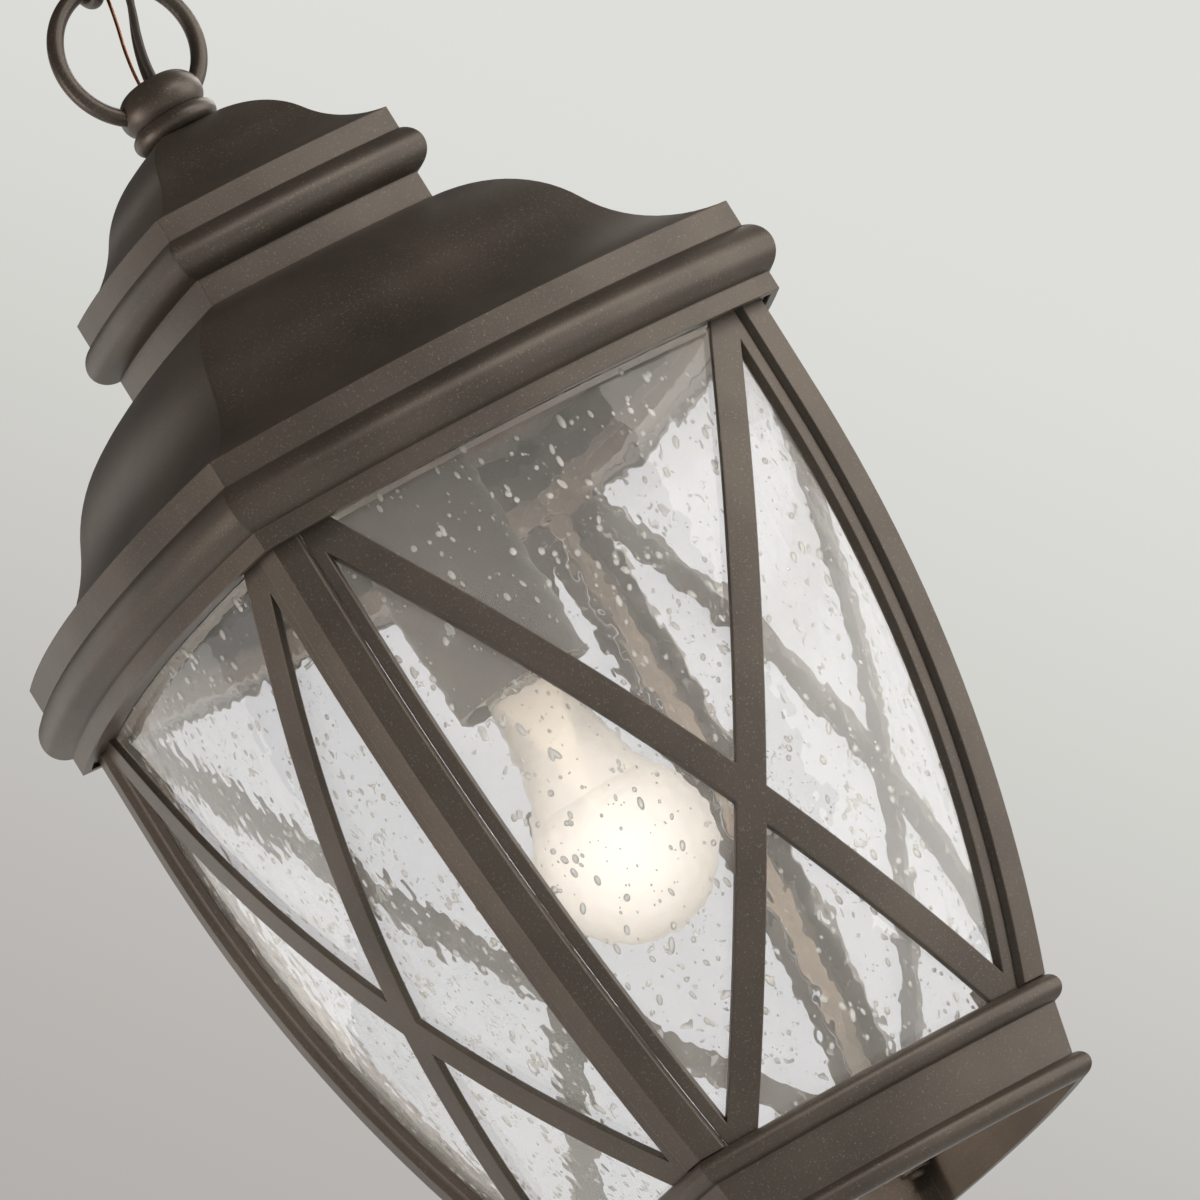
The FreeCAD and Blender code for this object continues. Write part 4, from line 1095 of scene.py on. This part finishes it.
def weld(name, link, x, y):
    """A swelling round the wire of a link, halfway up one side."""
    low, high = heights_of(link)
    profile = [(radius, height, 0.0) for radius, height in SWELLING]
    spot = (x * LINK_REACH, y * LINK_REACH, (low + high) / 2)
    shape = lifted(spun(profile, WELD_STEPS, plain, hollow=True), spot)
    settle(name, shape, steel_coat, link, None, smooth=True)


weld("weld_1", "chain_link_1", 0, -1)
weld("weld_2", "chain_link_2", -1, 0)

# %% [markdown]
# ## The knurled lock ring
# The lock ring under the canopy is turned by hand, so its rim is knurled to give a grip. A
# bump would leave its outline smooth, so every second corner of the rim is set back, with
# plain chamfers above and below.

# %% Lock ring
KNURLS = 56
KNURL_DEPTH = 0.45
RIM = 13.0
CHAMFER = 0.6
RING_BORE = 8.15


def knurled(height, turned):
    """Every second corner round the rim is cut back."""
    return round(turned * 2 * KNURLS) % 2


ring_low, ring_high = heights_of("loop_lock_ring")
ring_profile = (
    (RING_BORE, ring_low, 0.0), (RIM - CHAMFER, ring_low, 0.0), (RIM, ring_low + CHAMFER, KNURL_DEPTH),
    (RIM, ring_high - CHAMFER, KNURL_DEPTH), (RIM - CHAMFER, ring_high, 0.0), (RING_BORE, ring_high, 0.0),
)
ring_shape = lifted(spun(ring_profile, 2 * KNURLS, knurled, hollow=True), AXIS)
settle("knurled_lock_ring", ring_shape, steel_coat, "canopy", "loop_lock_ring", smooth=False)

# %% [markdown]
# ## The room
# The lantern hangs in a room whose walls are pale and whose ceiling is dark, so faces that
# look up stay dark and upright ones pick up the walls. The world could be one colour, but
# then the metal goes flat, so a ramp runs from the floor over the walls to the ceiling.

# %% Room
ROOM_STRENGTH = 0.8
FLOOR_TONE = (0.30, "6E6C69")
WALL_TONE = (0.52, "C9C8C5")
UPPER_TONES = ((0.66, "7C7A77"), (0.82, "474644"))

world = bpy.data.worlds.new("pale_room")
bpy.context.scene.world = world
world.use_nodes = True
tree = world.node_tree
tree.nodes.clear()
toward = add(tree, "TexCoord", {}).outputs["Generated"]
rise = add(tree, "MapRange", {
    "Value": add(tree, "SeparateXYZ", {"Vector": toward}).outputs["Z"], "From Min": -1.0, "From Max": 1.0,
})
walls = add(tree, "ValToRGB", {"Fac": rise.outputs["Result"]})
for stop, (position, tone) in zip(walls.color_ramp.elements, (FLOOR_TONE, WALL_TONE)):
    stop.position = position
    stop.color = linear(tone)
for position, tone in UPPER_TONES:
    walls.color_ramp.elements.new(position).color = linear(tone)
room = add(tree, "Background", {"Color": walls.outputs["Color"], "Strength": ROOM_STRENGTH})
print("room:", world.name, "with", len(walls.color_ramp.elements), "tones")

# %% [markdown]
# ## The backdrop
# What the camera sees behind the lantern is only a backdrop, a little brighter toward the
# top; the glass sees a whiter one, as panes do against a window. A sheet behind the lantern
# would be lit by the lamps and would hide it from the other sides, so the world shows each
# kind of ray its own.

# %% Backdrop
WINDOW_STRENGTH = 0.8
BRIGHTER_TOWARD = up * 0.85 + right * 0.35
slant = add(tree, "VectorMath", {0: toward, 1: tuple(BRIGHTER_TOWARD)}, operation="DOT_PRODUCT")
paler = add(tree, "MapRange", {
    "Value": slant.outputs["Value"], "From Min": -0.055, "From Max": 0.035,
}, interpolation_type="SMOOTHSTEP")
paper = add(tree, "MixRGB", {
    "Fac": paler.outputs["Result"], "Color1": linear("B4B0AD"), "Color2": linear("DEDFDA"),
})
backdrop = add(tree, "Background", {"Color": paper.outputs["Color"], "Strength": 1.0})
window = add(tree, "Background", {"Color": linear("F1F2F5"), "Strength": WINDOW_STRENGTH})
ray = add(tree, "LightPath", {})
unseen_or_glass = add(tree, "MixShader", {
    0: ray.outputs["Is Transmission Ray"], 1: room.outputs["Background"], 2: window.outputs["Background"],
})
whole = add(tree, "MixShader", {
    0: ray.outputs["Is Camera Ray"], 1: unseen_or_glass.outputs["Shader"], 2: backdrop.outputs["Background"],
})
sky = tree.nodes.new("ShaderNodeOutputWorld")
tree.links.new(whole.outputs["Shader"], sky.inputs["Surface"])
print("backdrop brightens toward", tuple(round(x, 2) for x in BRIGHTER_TOWARD))

# %% [markdown]
# ## Soft boxes
# Studio lamps for metal are large and soft, because a satin skin shows the shape of what
# lights it. A key from the left and a wide wall of light from the right model the upright
# faces; a strip stands high enough that it is not mirrored in the front panes, and two
# lamps from behind draw the edges. Sun lamps would give hard streaks. None of the lamps
# shows to the camera or through the glass, where it would be a white patch.

# %% Soft boxes
# Each lamp: its name, azimuth and elevation in degrees, distance, width and height in
# metres, power in watts and colour.
LAMPS = (
    ("key_left", -98, -4, 2.3, 1.0, 1.6, 24, "FFF1E4"),
    ("strip_right", 34, 26, 2.4, 1.8, 0.8, 18, "FFF8EF"),
    ("wall_right", 60, -2, 3.6, 3.4, 3.0, 76, "FFFBF4"),
    ("fill_back", 115, 24, 3.0, 1.8, 1.8, 32, "FFFBF4"),
    ("haze_back", -160, 16, 3.0, 1.8, 1.8, 8, "FFFBF4"),
)


def soft_box(name, azimuth, elevation, distance, width, height, power, colour):
    """A rectangular area lamp that faces the middle of the lantern."""
    lamp = bpy.data.lights.new(name, "AREA")
    lamp.shape = "RECTANGLE"
    lamp.size = width
    lamp.size_y = height
    lamp.energy = power
    lamp.color = linear(colour)[:3]
    holder = linked(name, lamp)
    direction = outward(math.radians(azimuth), math.radians(elevation))
    holder.location = EAVES + direction * distance
    holder.rotation_euler = direction.to_track_quat("Z", "Y").to_euler()
    holder.visible_camera = False
    holder.visible_transmission = False


for lamp in LAMPS:
    soft_box(*lamp)

# %% [markdown]
# ## The floor
# A pendant hangs far above the floor, so only a broad, faint shadow falls there. The eye,
# the metal and the glass see a pale floor with that shadow on it; other surfaces get its
# bounced light. From under the floor it is clear, so that the lantern can be looked at
# from below.

# %% Floor
FLOOR = -2.4
HALF_FLOOR = 40.0
PALE_SHARE = 0.8


def painted_floor():
    """Matte pale paint that glows a little to the eye, and is clear from below."""
    material, tree, output = finish_named("painted_studio_floor")
    ray = add(tree, "LightPath", {})
    pale_share = add(tree, "Math", {0: looked_at(tree, ray), 1: PALE_SHARE}, operation="MULTIPLY")
    matte = add(tree, "BsdfDiffuse", {"Color": linear("D6D5D1")})
    pale = add(tree, "Emission", {"Color": linear("E6E6E2"), "Strength": 1.0})
    top = add(tree, "MixShader", {
        0: pale_share.outputs["Value"], 1: matte.outputs["BSDF"], 2: pale.outputs["Emission"],
    })
    clear = add(tree, "BsdfTransparent", {})
    side = add(tree, "NewGeometry", {})
    paint = add(tree, "MixShader", {
        0: side.outputs["Backfacing"], 1: top.outputs["Shader"], 2: clear.outputs["BSDF"],
    })
    tree.links.new(paint.outputs["Shader"], output.inputs["Surface"])
    return material


floor_mesh = bpy.data.meshes.new("pale_floor")
floor_corners = [(x * HALF_FLOOR, y * HALF_FLOOR, FLOOR) for x, y in ((-1, -1), (1, -1), (1, 1), (-1, 1))]
floor_mesh.from_pydata(floor_corners, [], [(0, 1, 2, 3)])
floor_mesh.materials.append(painted_floor())
floor = linked("pale_floor", floor_mesh)
print("floor at", FLOOR)

# %% [markdown]
# ## Showing the picture
# The picture is shown as it is lit, without a film look.

# %% Finish
bpy.context.scene.view_settings.view_transform = "Standard"
